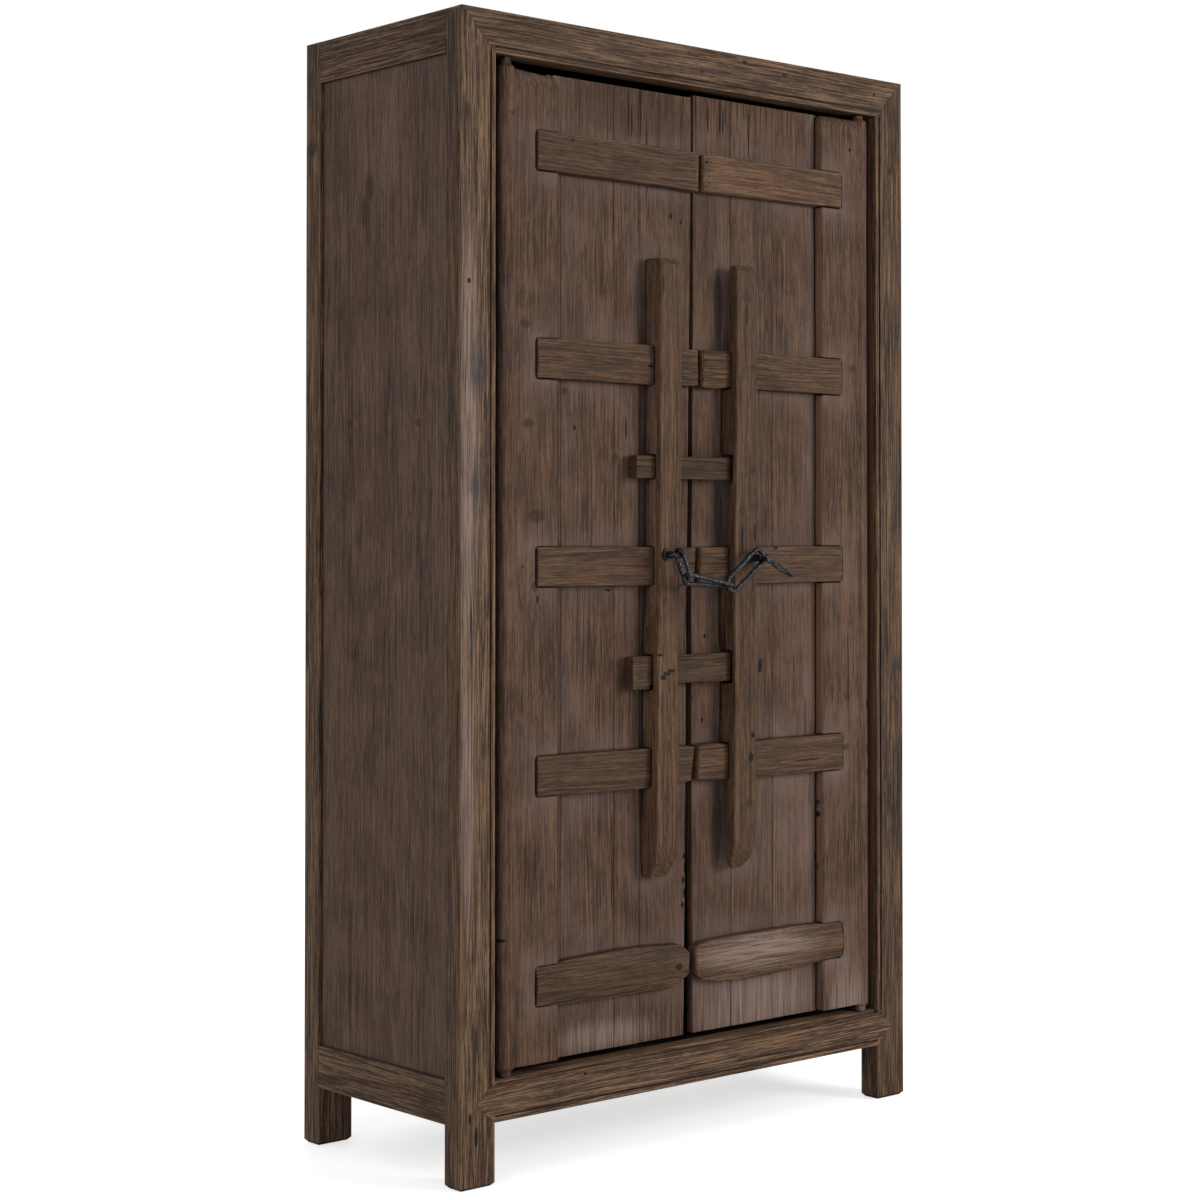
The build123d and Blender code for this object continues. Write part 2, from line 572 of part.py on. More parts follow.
def staple():
    """Stout round staple in the right pole with a slot for the hairpin."""
    base = at(STAPLE_OUT, POLE_FRONT_DEPTH, STAPLE_HEIGHT)
    body = flange_and_tang(STAPLE_OUT, STAPLE_HEIGHT)
    body += rod(base, base + Vector(0, -STAPLE_LENGTH, 0), STAPLE_RADIUS)
    direction, centre = hairpin_path()
    half = HAIRPIN_ROD + HAIRPIN_SLOT_CLEARANCE
    plane = Plane(origin=centre - direction * 2 * STAPLE_RADIUS, x_dir=(0, 1, 0), z_dir=direction)
    slot = SlotCenterToCenter(2 * HAIRPIN_HALF_GAP, 2 * half)
    return body - extrude(plane * slot, 4 * STAPLE_RADIUS)


# ---------------------------------------------------------------- assembly
def build_case():
    """All the pieces of the case by node name."""
    nodes = {"front_top_rail": front_top_rail(), "front_bottom_rail": front_bottom_rail()}
    for side in SIDES:
        nodes[f"{side}_top_rail"] = side_rail(side, (SIDE_TOP_RAIL_BOTTOM, CASE_HEIGHT),
                                              SIDE_TENON_TOP_SHOULDER)
        nodes[f"{side}_bottom_rail"] = side_rail(side, (FOOT_HEIGHT, SIDE_BOTTOM_RAIL_TOP),
                                                 TENON_SHOULDER)
    back_depths = (CASE_DEPTH - BACK_RAIL_THICKNESS, CASE_DEPTH)
    half = BACK_RAIL_HEIGHT / 2
    nodes["back_top_rail"] = back_rail((CASE_HEIGHT - BACK_RAIL_HEIGHT, CASE_HEIGHT), back_depths)
    nodes["back_bottom_rail"] = back_rail((FOOT_HEIGHT, FOOT_HEIGHT + BACK_RAIL_HEIGHT), back_depths)
    nodes["back_middle_rail"] = back_rail((BACK_RAIL_MIDDLE - half, BACK_RAIL_MIDDLE + half),
                                          (BACK_BOARD_FRONT - BACK_RAIL_THICKNESS, BACK_BOARD_FRONT))
    rails = list(nodes)
    blanks = {(side, place): post_blank(side, place) for side in SIDES for place in ("front", "back")}
    posts = list(blanks.values())

    panels = {f"{side}_side_panel": side_panel(side) for side in SIDES}
    boards = {f"back_board_{i + 1}": back_board(i) for i in range(BACK_BOARD_COUNT)}
    top = inner_board((CASE_HEIGHT - TOP_BOARD_THICKNESS, CASE_HEIGHT),
                      HALF_WIDTH - SIDE_RAIL_THICKNESS + TOP_BOARD_LAP,
                      (POST_DEPTH - TOP_BOARD_LAP, CASE_DEPTH - BACK_RAIL_THICKNESS + TOP_BOARD_LAP),
                      posts)
    floor = inner_board((FLOOR_TOP - FLOOR_BOARD_THICKNESS, FLOOR_TOP),
                        HALF_WIDTH - SIDE_RAIL_THICKNESS + PANEL_TONGUE,
                        (POST_DEPTH - PANEL_TONGUE, CASE_DEPTH - BACK_RAIL_THICKNESS + PANEL_TONGUE),
                        posts)
    let_in = [*panels.values(), *boards.values(), top, floor]
    for name in rails:
        nodes[name] = cut(nodes[name], *let_in)
    for name in ("front_top_rail", "front_bottom_rail"):
        nodes[name] = cut(nodes[name], *pivot_holes())
    joined = [nodes[name] for name in rails] + list(panels.values()) + list(boards.values())
    for (side, place) in blanks:
        nodes[f"{place}_{side}_post"] = post(side, place, joined)
    nodes.update(panels)
    nodes.update(boards)
    nodes["top_board"] = top
    nodes["floor_board"] = floor
    for level, height in SHELF_HEIGHTS.items():
        nodes[f"{level}_shelf"] = cut(
            inner_board((height - SHELF_THICKNESS, height), SIDE_PANEL_INNER,
                        (SHELF_FRONT_DEPTH, BACK_BOARD_FRONT), posts), nodes["back_middle_rail"])
        for side in SIDES:
            nodes[f"{side}_{level}_bearer"] = bearer(side, height - SHELF_THICKNESS)
    return nodes


def build_doors():
    """All the wooden pieces of both doors by node name."""
    nodes = {}
    for side in SIDES:
        battens = [batten(side, middle) for middle in BATTEN_MIDDLES]
        boards = door_boards(side)
        nodes[f"{side}_stile"] = stile(side, battens, boards[:1])
        for number, piece in enumerate(boards, 1):
            nodes[f"{side}_door_board_{number}"] = piece
        for number, piece in enumerate(battens, 1):
            nodes[f"{side}_batten_{number}"] = piece
        if side == "left":
            hollows = [mortise(level) for level in BOLT_MIDDLES]
            hollows += [head_recess(), tang_hole(-EYE_OUT, EYE_HEIGHT)]
        else:
            hollows = [socket(level) for level in BOLT_MIDDLES] + finger_hollows()
            hollows.append(tang_hole(STAPLE_OUT, STAPLE_HEIGHT))
        nodes[f"{side}_pole"] = pole(side, battens[1:-1], hollows)
    return nodes


def build_latch():
    """The sliding bolts and the iron latch by node name."""
    level = Vector(0, 1, 0)
    hasp_start, hasp_end, hasp_across = hasp_frame()
    link_1_end = LINK_1_CROWN - LINK_1_LINE * LINK_HALF_WIDTH
    return {
        "upper_bolt": bolt("upper"),
        "lower_bolt": bolt("lower"),
        "eye_bolt": eye_bolt(),
        "chain_link_1": chain_loop(LINK_1_TOP, link_1_end, level, level, LINK_HALF_WIDTH, LINK_ROD),
        "chain_link_2": chain_loop(LINK_2_START, LINK_2_END, tilted(LINK_2_START_TILT),
                                   tilted(LINK_2_END_TILT), LINK_2_HALF_WIDTH, LINK_ROD),
        "hasp": chain_loop(hasp_start, hasp_end, hasp_across, hasp_across, HASP_HALF_WIDTH, HASP_ROD),
        "staple": staple(),
        "hairpin": hairpin(),
    }


def main():
    os.makedirs("parts", exist_ok=True)
    nodes = {**build_case(), **build_doors(), **build_latch()}
    for name, shape in nodes.items():
        shape.label = name
        export_step(shape, f"parts/{name}.step")
    box = Compound(children=list(nodes.values())).bounding_box()
    print(len(nodes), "nodes", box.min, box.max)
    for name, point in {"ring": RING_CENTRE, "link 1 crown": LINK_1_CROWN,
                        "link 2 crown": LINK_2_CROWN}.items():
        print(name, point)


main()
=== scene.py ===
"""Dresses a tall two-door book cabinet built from old doors.

Weathered elm and fir, hewn battens and poles, sliding bolts, a forged chain, and the studio they stand in.
"""

import json
import math

import bpy
import numpy as np
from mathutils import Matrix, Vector

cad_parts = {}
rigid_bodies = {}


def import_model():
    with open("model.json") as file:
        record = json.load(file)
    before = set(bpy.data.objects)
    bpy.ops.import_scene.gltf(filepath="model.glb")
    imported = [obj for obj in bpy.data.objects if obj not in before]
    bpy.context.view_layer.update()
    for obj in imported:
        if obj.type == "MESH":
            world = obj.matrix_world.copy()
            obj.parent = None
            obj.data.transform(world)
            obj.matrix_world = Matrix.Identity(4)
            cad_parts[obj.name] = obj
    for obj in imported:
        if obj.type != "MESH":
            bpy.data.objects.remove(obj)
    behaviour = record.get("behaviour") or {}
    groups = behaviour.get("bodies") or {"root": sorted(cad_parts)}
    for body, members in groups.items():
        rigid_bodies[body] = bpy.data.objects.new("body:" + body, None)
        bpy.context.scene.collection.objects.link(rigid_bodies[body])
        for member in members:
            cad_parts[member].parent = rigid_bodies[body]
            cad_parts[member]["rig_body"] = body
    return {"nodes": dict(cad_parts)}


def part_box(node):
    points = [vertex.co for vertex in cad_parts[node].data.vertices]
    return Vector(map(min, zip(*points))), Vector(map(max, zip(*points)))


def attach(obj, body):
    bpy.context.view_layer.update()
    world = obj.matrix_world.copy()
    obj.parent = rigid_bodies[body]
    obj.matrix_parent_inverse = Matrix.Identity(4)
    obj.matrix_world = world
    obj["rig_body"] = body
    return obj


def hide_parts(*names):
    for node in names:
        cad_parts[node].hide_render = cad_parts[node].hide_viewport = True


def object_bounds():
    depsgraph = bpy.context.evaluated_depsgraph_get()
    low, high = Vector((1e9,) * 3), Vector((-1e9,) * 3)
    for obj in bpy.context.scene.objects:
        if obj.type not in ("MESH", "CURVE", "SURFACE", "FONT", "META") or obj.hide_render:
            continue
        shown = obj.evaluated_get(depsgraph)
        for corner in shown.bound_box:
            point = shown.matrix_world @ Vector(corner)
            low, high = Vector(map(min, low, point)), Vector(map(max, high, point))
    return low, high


bl_info = {
    "name": "Old door book cabinet",
    "version": (1, 0, 0),
    "blender": (4, 5, 0),
    "location": "View3D > Sidebar > Cabinet",
    "description": "Weathered timbers, forged chain and studio for a tall book cabinet",
    "category": "Object",
}

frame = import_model()
CAD_BOX = [list(corner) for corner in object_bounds()]
NODES = frame["nodes"]

MM = 0.001
X, Y, Z = 0, 1, 2

# ---------------------------------------------------------------- groups of timbers

SIDES = ("left", "right")
POSTS = ("front_left_post", "front_right_post", "back_left_post", "back_right_post")
FRONT_RAILS = ("front_top_rail", "front_bottom_rail")
SIDE_RAILS = ("left_top_rail", "right_top_rail", "left_bottom_rail", "right_bottom_rail")
BACK_RAILS = ("back_top_rail", "back_bottom_rail", "back_middle_rail")
SIDE_PANELS = tuple(f"{side}_side_panel" for side in SIDES)
BACK_BOARDS = tuple(f"back_board_{n}" for n in (1, 2, 3, 4))
SHELVES = ("top_board", "floor_board", "lower_shelf", "middle_shelf", "upper_shelf")
BEARERS = tuple(f"{side}_{height}_bearer" for side in SIDES for height in ("lower", "middle", "upper"))
STILES = tuple(f"{side}_stile" for side in SIDES)
DOOR_BOARDS = tuple(f"{side}_door_board_{n}" for side in SIDES for n in (1, 2, 3))
BATTENS = tuple(f"{side}_batten_{n}" for side in SIDES for n in (1, 2, 3, 4, 5))
POLES = tuple(f"{side}_pole" for side in SIDES)
BOLTS = ("upper_bolt", "lower_bolt")
IRON = ("eye_bolt", "chain_link_1", "chain_link_2", "hasp", "staple", "hairpin")

# where each group's random wear starts
SEEDS = {"case": 100, "panels": 120, "inside": 200, "boards": 300, "stiles": 320, "battens": 340, "poles": 360,
         "bolts": 370, "iron": 400}

# ---------------------------------------------------------------- measures, in millimetres where no unit is given

CASE_FRONT = -0.1974            # the case's front face, in metres
FRONT = CASE_FRONT / MM         # and in millimetres
PANEL_FACE = 0.54               # just inside the side panels' outer faces, in metres from the middle
BOARD, STILE, FLUSH, POLE = 25, 5, 0, -18       # how far the outer faces lie behind the case's front
OPENING_SIDE, OPENING_FOOT, OPENING_TOP = 478.5, 176, 1927      # the door opening, from the middle and the floor
MEETING = 3.5                   # from the middle to the straight edge of each door's last board

# the quirk of the bead round the door opening: (distance from the opening's edge, depth)
QUIRK = ((0, 0), (8.2, 0), (9.2, 1.7), (11.2, 1.7), (12.2, 0))

# each beaded timber: the axis across its bead, the opening's edge there, the way from the opening, how far the bead
# runs and the axis along it
BEADS = {
    "front_left_post": (X, -OPENING_SIDE, -1, (OPENING_FOOT - 10, OPENING_TOP + 10), Z),
    "front_right_post": (X, OPENING_SIDE, 1, (OPENING_FOOT - 10, OPENING_TOP + 10), Z),
    "front_top_rail": (Z, OPENING_TOP, 1, (), X),
    "front_bottom_rail": (Z, OPENING_FOOT, -1, (), X),
}

# where the two doors' last boards stop, from the foot of the doors to their top: (height, place)
MEETING_EDGE = {
    "left": ((189, -18.2), (434, -13.2), (617, -12), (983, -8.4), (1536, 0.3), (1853, 4), (1912, 3.5)),
    "right": ((189, 5.4), (432, 4.6), (617, 2.4), (983, 2.8), (1536, 7.3), (1888, 9.2), (1917, 9.2)),
}

# each batten's end at the middle of the cabinet, from the top batten down: (place below, place above)
BATTEN_ENDS = {
    "left": ((-22, -18), (-16, -7), (-8, -3), (2, 3), (4, 5)),
    "right": ((-6, -9), (-5, -1), (1, 2), (8, 9), (11, 11)),
}

# how far each batten's upper and lower edges wander: (distance from the middle, shift)
PLAIN_EDGES = ((3, 0), (100, 1), (240, 2), (384, 1)), ((3, 0), (120, -2), (384, 0))
BATTEN_EDGES = {
    ("left", 1): (
        ((3, -16), (14, -5), (30, 3), (70, 5), (120, 8), (170, 9), (220, 8), (270, 6), (320, 5), (332, 1), (384, 1)),
        ((3, 18), (14, 9), (28, 2), (50, -6), (100, -8), (150, -6), (220, -5), (300, -6), (345, -3), (384, 0)),
    ),
    ("right", 1): (
        ((3, -8), (25, 1), (60, 3), (110, 4), (160, 4), (220, 5), (270, 5), (325, 3), (384, 1)),
        ((3, 12), (14, 3), (30, -4), (60, -9), (100, -12), (160, -13), (210, -11), (260, -7), (320, -3), (384, 0)),
    ),
    ("left", 2): (((3, -3), (20, 1), (384, 2)), ((3, 4), (25, -1), (110, -4), (180, -2), (384, -1))),
    ("right", 2): (((3, 0), (40, 2), (84, -3), (200, 1), (384, 2)), ((3, 5), (20, 2), (84, -1), (384, -1))),
    ("left", 4): (
        ((3, 0), (60, 1), (112, 4), (250, 3), (384, 2)),
        ((3, 1), (60, -1), (112, -2), (250, -1), (384, 0)),
    ),
    ("right", 4): (((3, 1), (40, 2), (84, 2), (384, 1)), ((3, -1), (40, -3), (84, 1), (384, -1))),
    ("left", 5): (((3, 1), (60, 3), (200, 2), (384, 2)), ((3, -4), (60, -2), (200, -1), (384, 0))),
    ("right", 5): (((3, -1), (60, 2), (200, 2), (384, 1)), ((3, -3), (60, -2), (200, -1), (384, 0))),
}

# each pole: the places of its two sides, how they lean as (height, shift), and how they draw in above the foot's end
POLE_WEAR = {
    "left_pole": {
        "sides": (-111.5, -53.5),
        "left": ((485, -11), (628, -11), (717, -9), (896, -8.3), (985, -3.4), (1201, -0.8), (1525, -1.8), (1603, 0)),
        "right": ((485, -16), (624, -15), (714, -10), (804, -12.5), (895, -12.4), (985, -10), (1202, -4.7),
                  (1347, -3.3), (1607, -4)),
        "left_foot": ((0, 3), (6, 1), (20, 0)),
        "right_foot": ((0, -13), (8, -7), (25, -3), (55, 0)),
    },
    "right_pole": {
        "sides": (82.5, 136.5),
        "left": ((485, -12), (615, -12), (706, -10), (798, -7.3), (982, -11), (1241, -6), (1352, -3.8), (1537, -2.2),
                 (1597, -3.4)),
        "right": ((485, -7), (610, -7), (703, -4.3), (982, -3.8), (1354, -0.5), (1541, -1.5), (1600, -3)),
        "left_foot": ((0, 13), (5, 8), (16, 2), (30, 0)),
        "right_foot": ((0, -22), (7, -13), (17, -7), (35, -2), (60, 0)),
    },
}
POLE_FOOT_FRONT = ((0, 7), (20, 4), (50, 1), (80, 0))

# how much lighter or darker a timber is than its finish
TONES = {
    "front_top_rail": 0.93, "front_bottom_rail": 1.2, "left_top_rail": 0.86, "front_right_post": 0.82,
    "left_batten_1": 0.80, "left_batten_2": 0.95, "left_batten_3": 0.96, "left_batten_5": 0.86,
    "right_batten_1": 1.15, "right_batten_4": 1.02, "right_batten_5": 1.25,
    "left_pole": 1.16, "right_pole": 0.92, "upper_bolt": 0.70, "lower_bolt": 0.69,
}

# marks on single timbers, time's holes, knots, stains and dust, and painted shade, shadow and light:
# (x, distance behind the case's front, z, half width, half height)
MARKS = {
    ("door", "hole_and_shadow_line"): (
        (-152, BOARD, 1866, 1.6, 40), (-144, BOARD, 1852, 1.4, 29), (-122, BOARD, 1869, 1.6, 45),
        (-48, BOARD, 1687, 4, 5.5), (-23, BOARD, 1678, 2.5, 3.7), (46, BOARD, 1881, 1.8, 28),
        (77, BOARD, 1881, 1.8, 34), (85, BOARD, 1875, 1.5, 22), (152, BOARD, 1859, 1.8, 42),
        (181, BOARD, 855, 4.3, 13), (333, 22, 587, 1.7, 10), (332, 24, 566, 1.3, 6), (333, 21, 466, 1.9, 12),
        (329, BOARD, 484, 2, 6), (-16, BOARD, 515, 3, 5), (-14, BOARD, 493, 2.6, 10), (-18, BOARD, 470, 3.4, 6),
        (-15, BOARD, 447, 2.8, 9), (-19, BOARD, 426, 3.4, 5), (37, BOARD, 916, 3.1, 3.7), (30, BOARD, 761, 3.1, 4.6),
        (-280, BOARD, 1292, 2.8, 3.9), (-158, BOARD, 1293, 1.7, 16), (-201, BOARD, 1004, 6.2, 1.8),
        (-381, STILE, 990, 2, 6.9), (451, STILE, 775, 3.7, 7.8), (452, STILE, 687, 3.4, 12),
        # the long thin marks at the right battens' ends and along the left stile's inner arris are painted shadow
        # lines
        (452, STILE, 640, 2.9, 9.7), (386.5, STILE, 322, 1.5, 33), (386.5, STILE, 684, 1.5, 33),
        (386.5, STILE, 1046, 1.5, 33), (386.5, STILE, 1409, 1.5, 33), (386.5, STILE, 1771, 1.5, 33),
        (410, STILE, 1854, 3.4, 3.1), (-462, 8, 410, 8.8, 2.7), (-333.5, STILE, 1050, 1.4, 860),
    ),
    # painted shade on the boards between the poles, along the left door's top and beside the left stile
    ("door", "shade"): ((35, BOARD, 1680, 36, 95), (-150, BOARD, 1868, 150, 48), (-312, BOARD, 1050, 2.6, 900)),
    # painted light near the left stile's top, and paler patches on the right door's lower boards
    ("door", "flank"): ((240, BOARD, 590, 100, 190), (200, BOARD, 215, 160, 60), (-386, 11, 1896, 44, 9)),
    # painted shade on the front-left post's side face
    ("case", "shade"): ((-552, 55, 1050, 62, 1300),),
    # painted light on the stiles' inner side faces and the right post's inner side face, which the lamps leave dark
    ("door", "side_light"): ((329, 15, 1050, 5, 900), (-331, 15, 1050, 3, 900)),
    ("case", "side_light"): ((477, 20, 1050, 5, 900),),
    # painted shadow in the hollows behind the right pole, beside the left pole and beside the left stile
    ("door", "painted_shadow"): (
        (72, BOARD, 1530, 12, 70), (72, BOARD, 1140, 12, 62), (68, BOARD, 570, 12, 80), (-120, BOARD, 1050, 9, 560),
        (-312, BOARD, 1050, 1.5, 900),
    ),
    # painted light on the left pole's shaded side face
    ("handled", "flank"): ((-112, 4, 1040, 3, 600),),
    ("handled", "pale"): ((155, FLUSH, 337, 175, 60),),
    ("door", "knot"): (
        (-185, BOARD, 1240, 4.8, 7.2), (-302, BOARD, 1356, 5.5, 4.2), (-383, STILE, 1135, 13.5, 7.8),
        (-402, STILE, 1296, 9, 5.2), (-408, STILE, 1468, 7.8, 5.2), (-441, STILE, 1829, 4.4, 3.1),
        (400, STILE, 791, 6.2, 5), (395, STILE, 693, 6.8, 4.3), (417, STILE, 1426, 7.1, 5.9),
        (128, BOARD, 812, 5.2, 9.3),
    ),
    ("door", "pale"): ((153, BOARD, 225, 170, 85), (-220, BOARD, 214, 144, 30), (399, STILE, 184, 62, 96)),
    ("handled", "hole_and_shadow_line"): (
        (-304, FLUSH, 1796, 3.7, 2.3), (21, FLUSH, 1790, 3.6, 2.6), (-120, FLUSH, 1407, 6.3, 2.5),
        (-51, FLUSH, 320, 7.4, 5.8), (200, FLUSH, 1078, 5.4, 2.6), (-87, POLE, 858, 9, 2.6), (-97, POLE, 853, 9, 3.4),
        (-106, POLE, 846, 7, 3.9), (-113, POLE, 887, 5.4, 2.5), (-105, POLE, 1555, 1.7, 16),
        (115, POLE, 691, 5.7, 8.3), (120, POLE, 731, 4.7, 4.4), (125, POLE, 1106, 3.1, 15), (93, POLE, 1093, 2.1, 29),
        (105, POLE, 1512, 2.1, 18),
    ),
    ("handled", "knot"): (
        (105, POLE, 1543, 7.8, 6), (120, POLE, 1413, 6.8, 4.8), (93, POLE, 1147, 7.2, 6.7),
        (111, POLE, 606, 6.2, 5.5), (121, POLE, 1155, 5.2, 5.6), (119, POLE, 1225, 5.2, 4.8),
        (-100, POLE, 985, 4.9, 5.4), (-176, FLUSH, 1774, 24, 5.4),
    ),
    ("case", "hole_and_shadow_line"): (
        (7, FLUSH, 1955, 3, 2.2), (118, FLUSH, 1988, 5.8, 1.9), (222, FLUSH, 1976, 3.8, 2.3),
        (-536, FLUSH, 1533, 3.4, 4.1), (489, FLUSH, 404, 3.2, 2.1), (474, FLUSH, 1968, 3.5, 2.4),
        (-277, FLUSH, 160, 3.7, 2.1), (102, FLUSH, 130, 3.6, 2.2), (-519, FLUSH, 87, 3.4, 17),
        (-532, FLUSH, 119, 2.6, 10),
    ),
    ("case", "knot"): ((465, FLUSH, 629, 5.2, 4.7), (-552, 445, 1807, 13, 9)),
    ("case", "blue"): (
        (538, FLUSH, 360, 15, 18), (524, FLUSH, 549, 20, 8), (537, FLUSH, 846, 24, 20), (-512, FLUSH, 1391, 30, 68),
        (-517, FLUSH, 1195, 30, 68),
    ),
    # painted sheen on the front-left post's face
    ("case", "pale"): ((-536, FLUSH, 1262, 24, 430), (-537, FLUSH, 656, 16, 230)),
    ("panel", "knot"): (
        (-544, 277, 1719, 9, 18), (-544, 289, 1677, 9, 18), (-544, 280, 1640, 3, 20), (-544, 334, 1301, 6, 5),
        (-544, 132, 1297, 6, 5),
    ),
}
CRISP_MARKS = ("side_light", "painted_shadow")


# ---------------------------------------------------------------- colours and nodes

def tint(code):
    """An sRGB hex colour as the linear colour that Blender's sockets take."""
    parts = [int(code[i:i + 2], 16) / 255 for i in (1, 3, 5)]
    return [c / 12.92 if c <= 0.04045 else ((c + 0.055) / 1.055) ** 2.4 for c in parts] + [1.0]


def add(tree, kind, *values, out=0, **named):
    """Adds one node and gives one of its outputs, or all of them where out is None.

    The values go to its first sockets in order. A named value goes to a property where its name is in lower case, and
    otherwise to a socket, by its name or by its number after an underscore.
    """
    node = tree.nodes.new("ShaderNode" + kind)
    sockets = dict(enumerate(values))
    for name, value in named.items():
        if name[0].islower():
            setattr(node, name, value)
        else:
            sockets[int(name[1:]) if name[0] == "_" else name.replace("_", " ")] = value
    for key, value in sockets.items():
        if isinstance(value, bpy.types.NodeSocket):
            tree.links.new(value, node.inputs[key])
        else:
            node.inputs[key].default_value = value
    return node.outputs if out is None else node.outputs[out]


def new_material(name):
    material = bpy.data.materials.new(name)
    material.use_nodes = True
    material.node_tree.nodes.clear()
    return material, material.node_tree


# ---------------------------------------------------------------- finishes

PALE_DUST_AND_LIGHT = tint("#8A7871")          # wood rubbed or dusted pale, and painted light: sheen and lit faces
CRACK = tint("#1A1210")
# painted shadow for hollows and beside standing parts
SHADOW_PAINT = tint("#241A15")
SIDE_LIGHT_PAINT = tint("#7A5845")          # painted light for side faces that the lamps leave dark
BLUE_STAIN = tint("#2B2C34")
KNOT = tint("#2A1C17")
KNOT_RIM = tint("#211713")
KNOT_HEART = tint("#3A251C")
CHECK = tint("#17110F")
# holes, and painted shadow lines
HOLE_AND_SHADOW_LINE = tint("#120D0B")
# painted shade, laid in creases by ambient occlusion
CREASE_SHADE = tint("#1A1311")

# each wood's name, colours, and how strongly each kind of detail shows; duller adds to the roughness of the wax
WOODS = {
    "case": dict(
        name="elm, brushed and dark waxed", mid="#554031", light="#7F644B", dust="#6C5A50", stain="#33323A",
        fibres=0.75, stains=0.75, dustiness=0.35, knots=0.15, rubbing=0.7, duller=0.0),
    "panel": dict(
        name="elm panels, dark waxed", dark="#35271E", mid="#5B4537", light="#70584A", dust="#6E5F58", stain="#3A3331",
        fibres=0.35, stains=0.3, dustiness=0.35, knots=0.1, rubbing=0.0, duller=0.0),
    "door": dict(
        name="old fir boards, weathered and waxed", mid="#533B2F", light="#735843", dust="#6F5E59", stain="#39312E",
        fibres=0.32, stains=0.35, dustiness=1.0, knots=0.2, rubbing=0.5, duller=0.04),
    "handled": dict(
        name="elm, hand worn", mid="#4D3524", light="#6D5139", dust="#5A483B", stain="#362C26",
        fibres=0.42, stains=0.4, dustiness=0.5, knots=0.4, rubbing=0.6, duller=-0.06),
    "inner": dict(
        name="fir boards, sawn and stained", dark="#2C221C", mid="#46362D", light="#58473C", dust="#564A44",
        stain="#2C2826", fibres=0.4, stains=0.3, dustiness=0.4, knots=0.25, rubbing=0.4, duller=0.09),
}


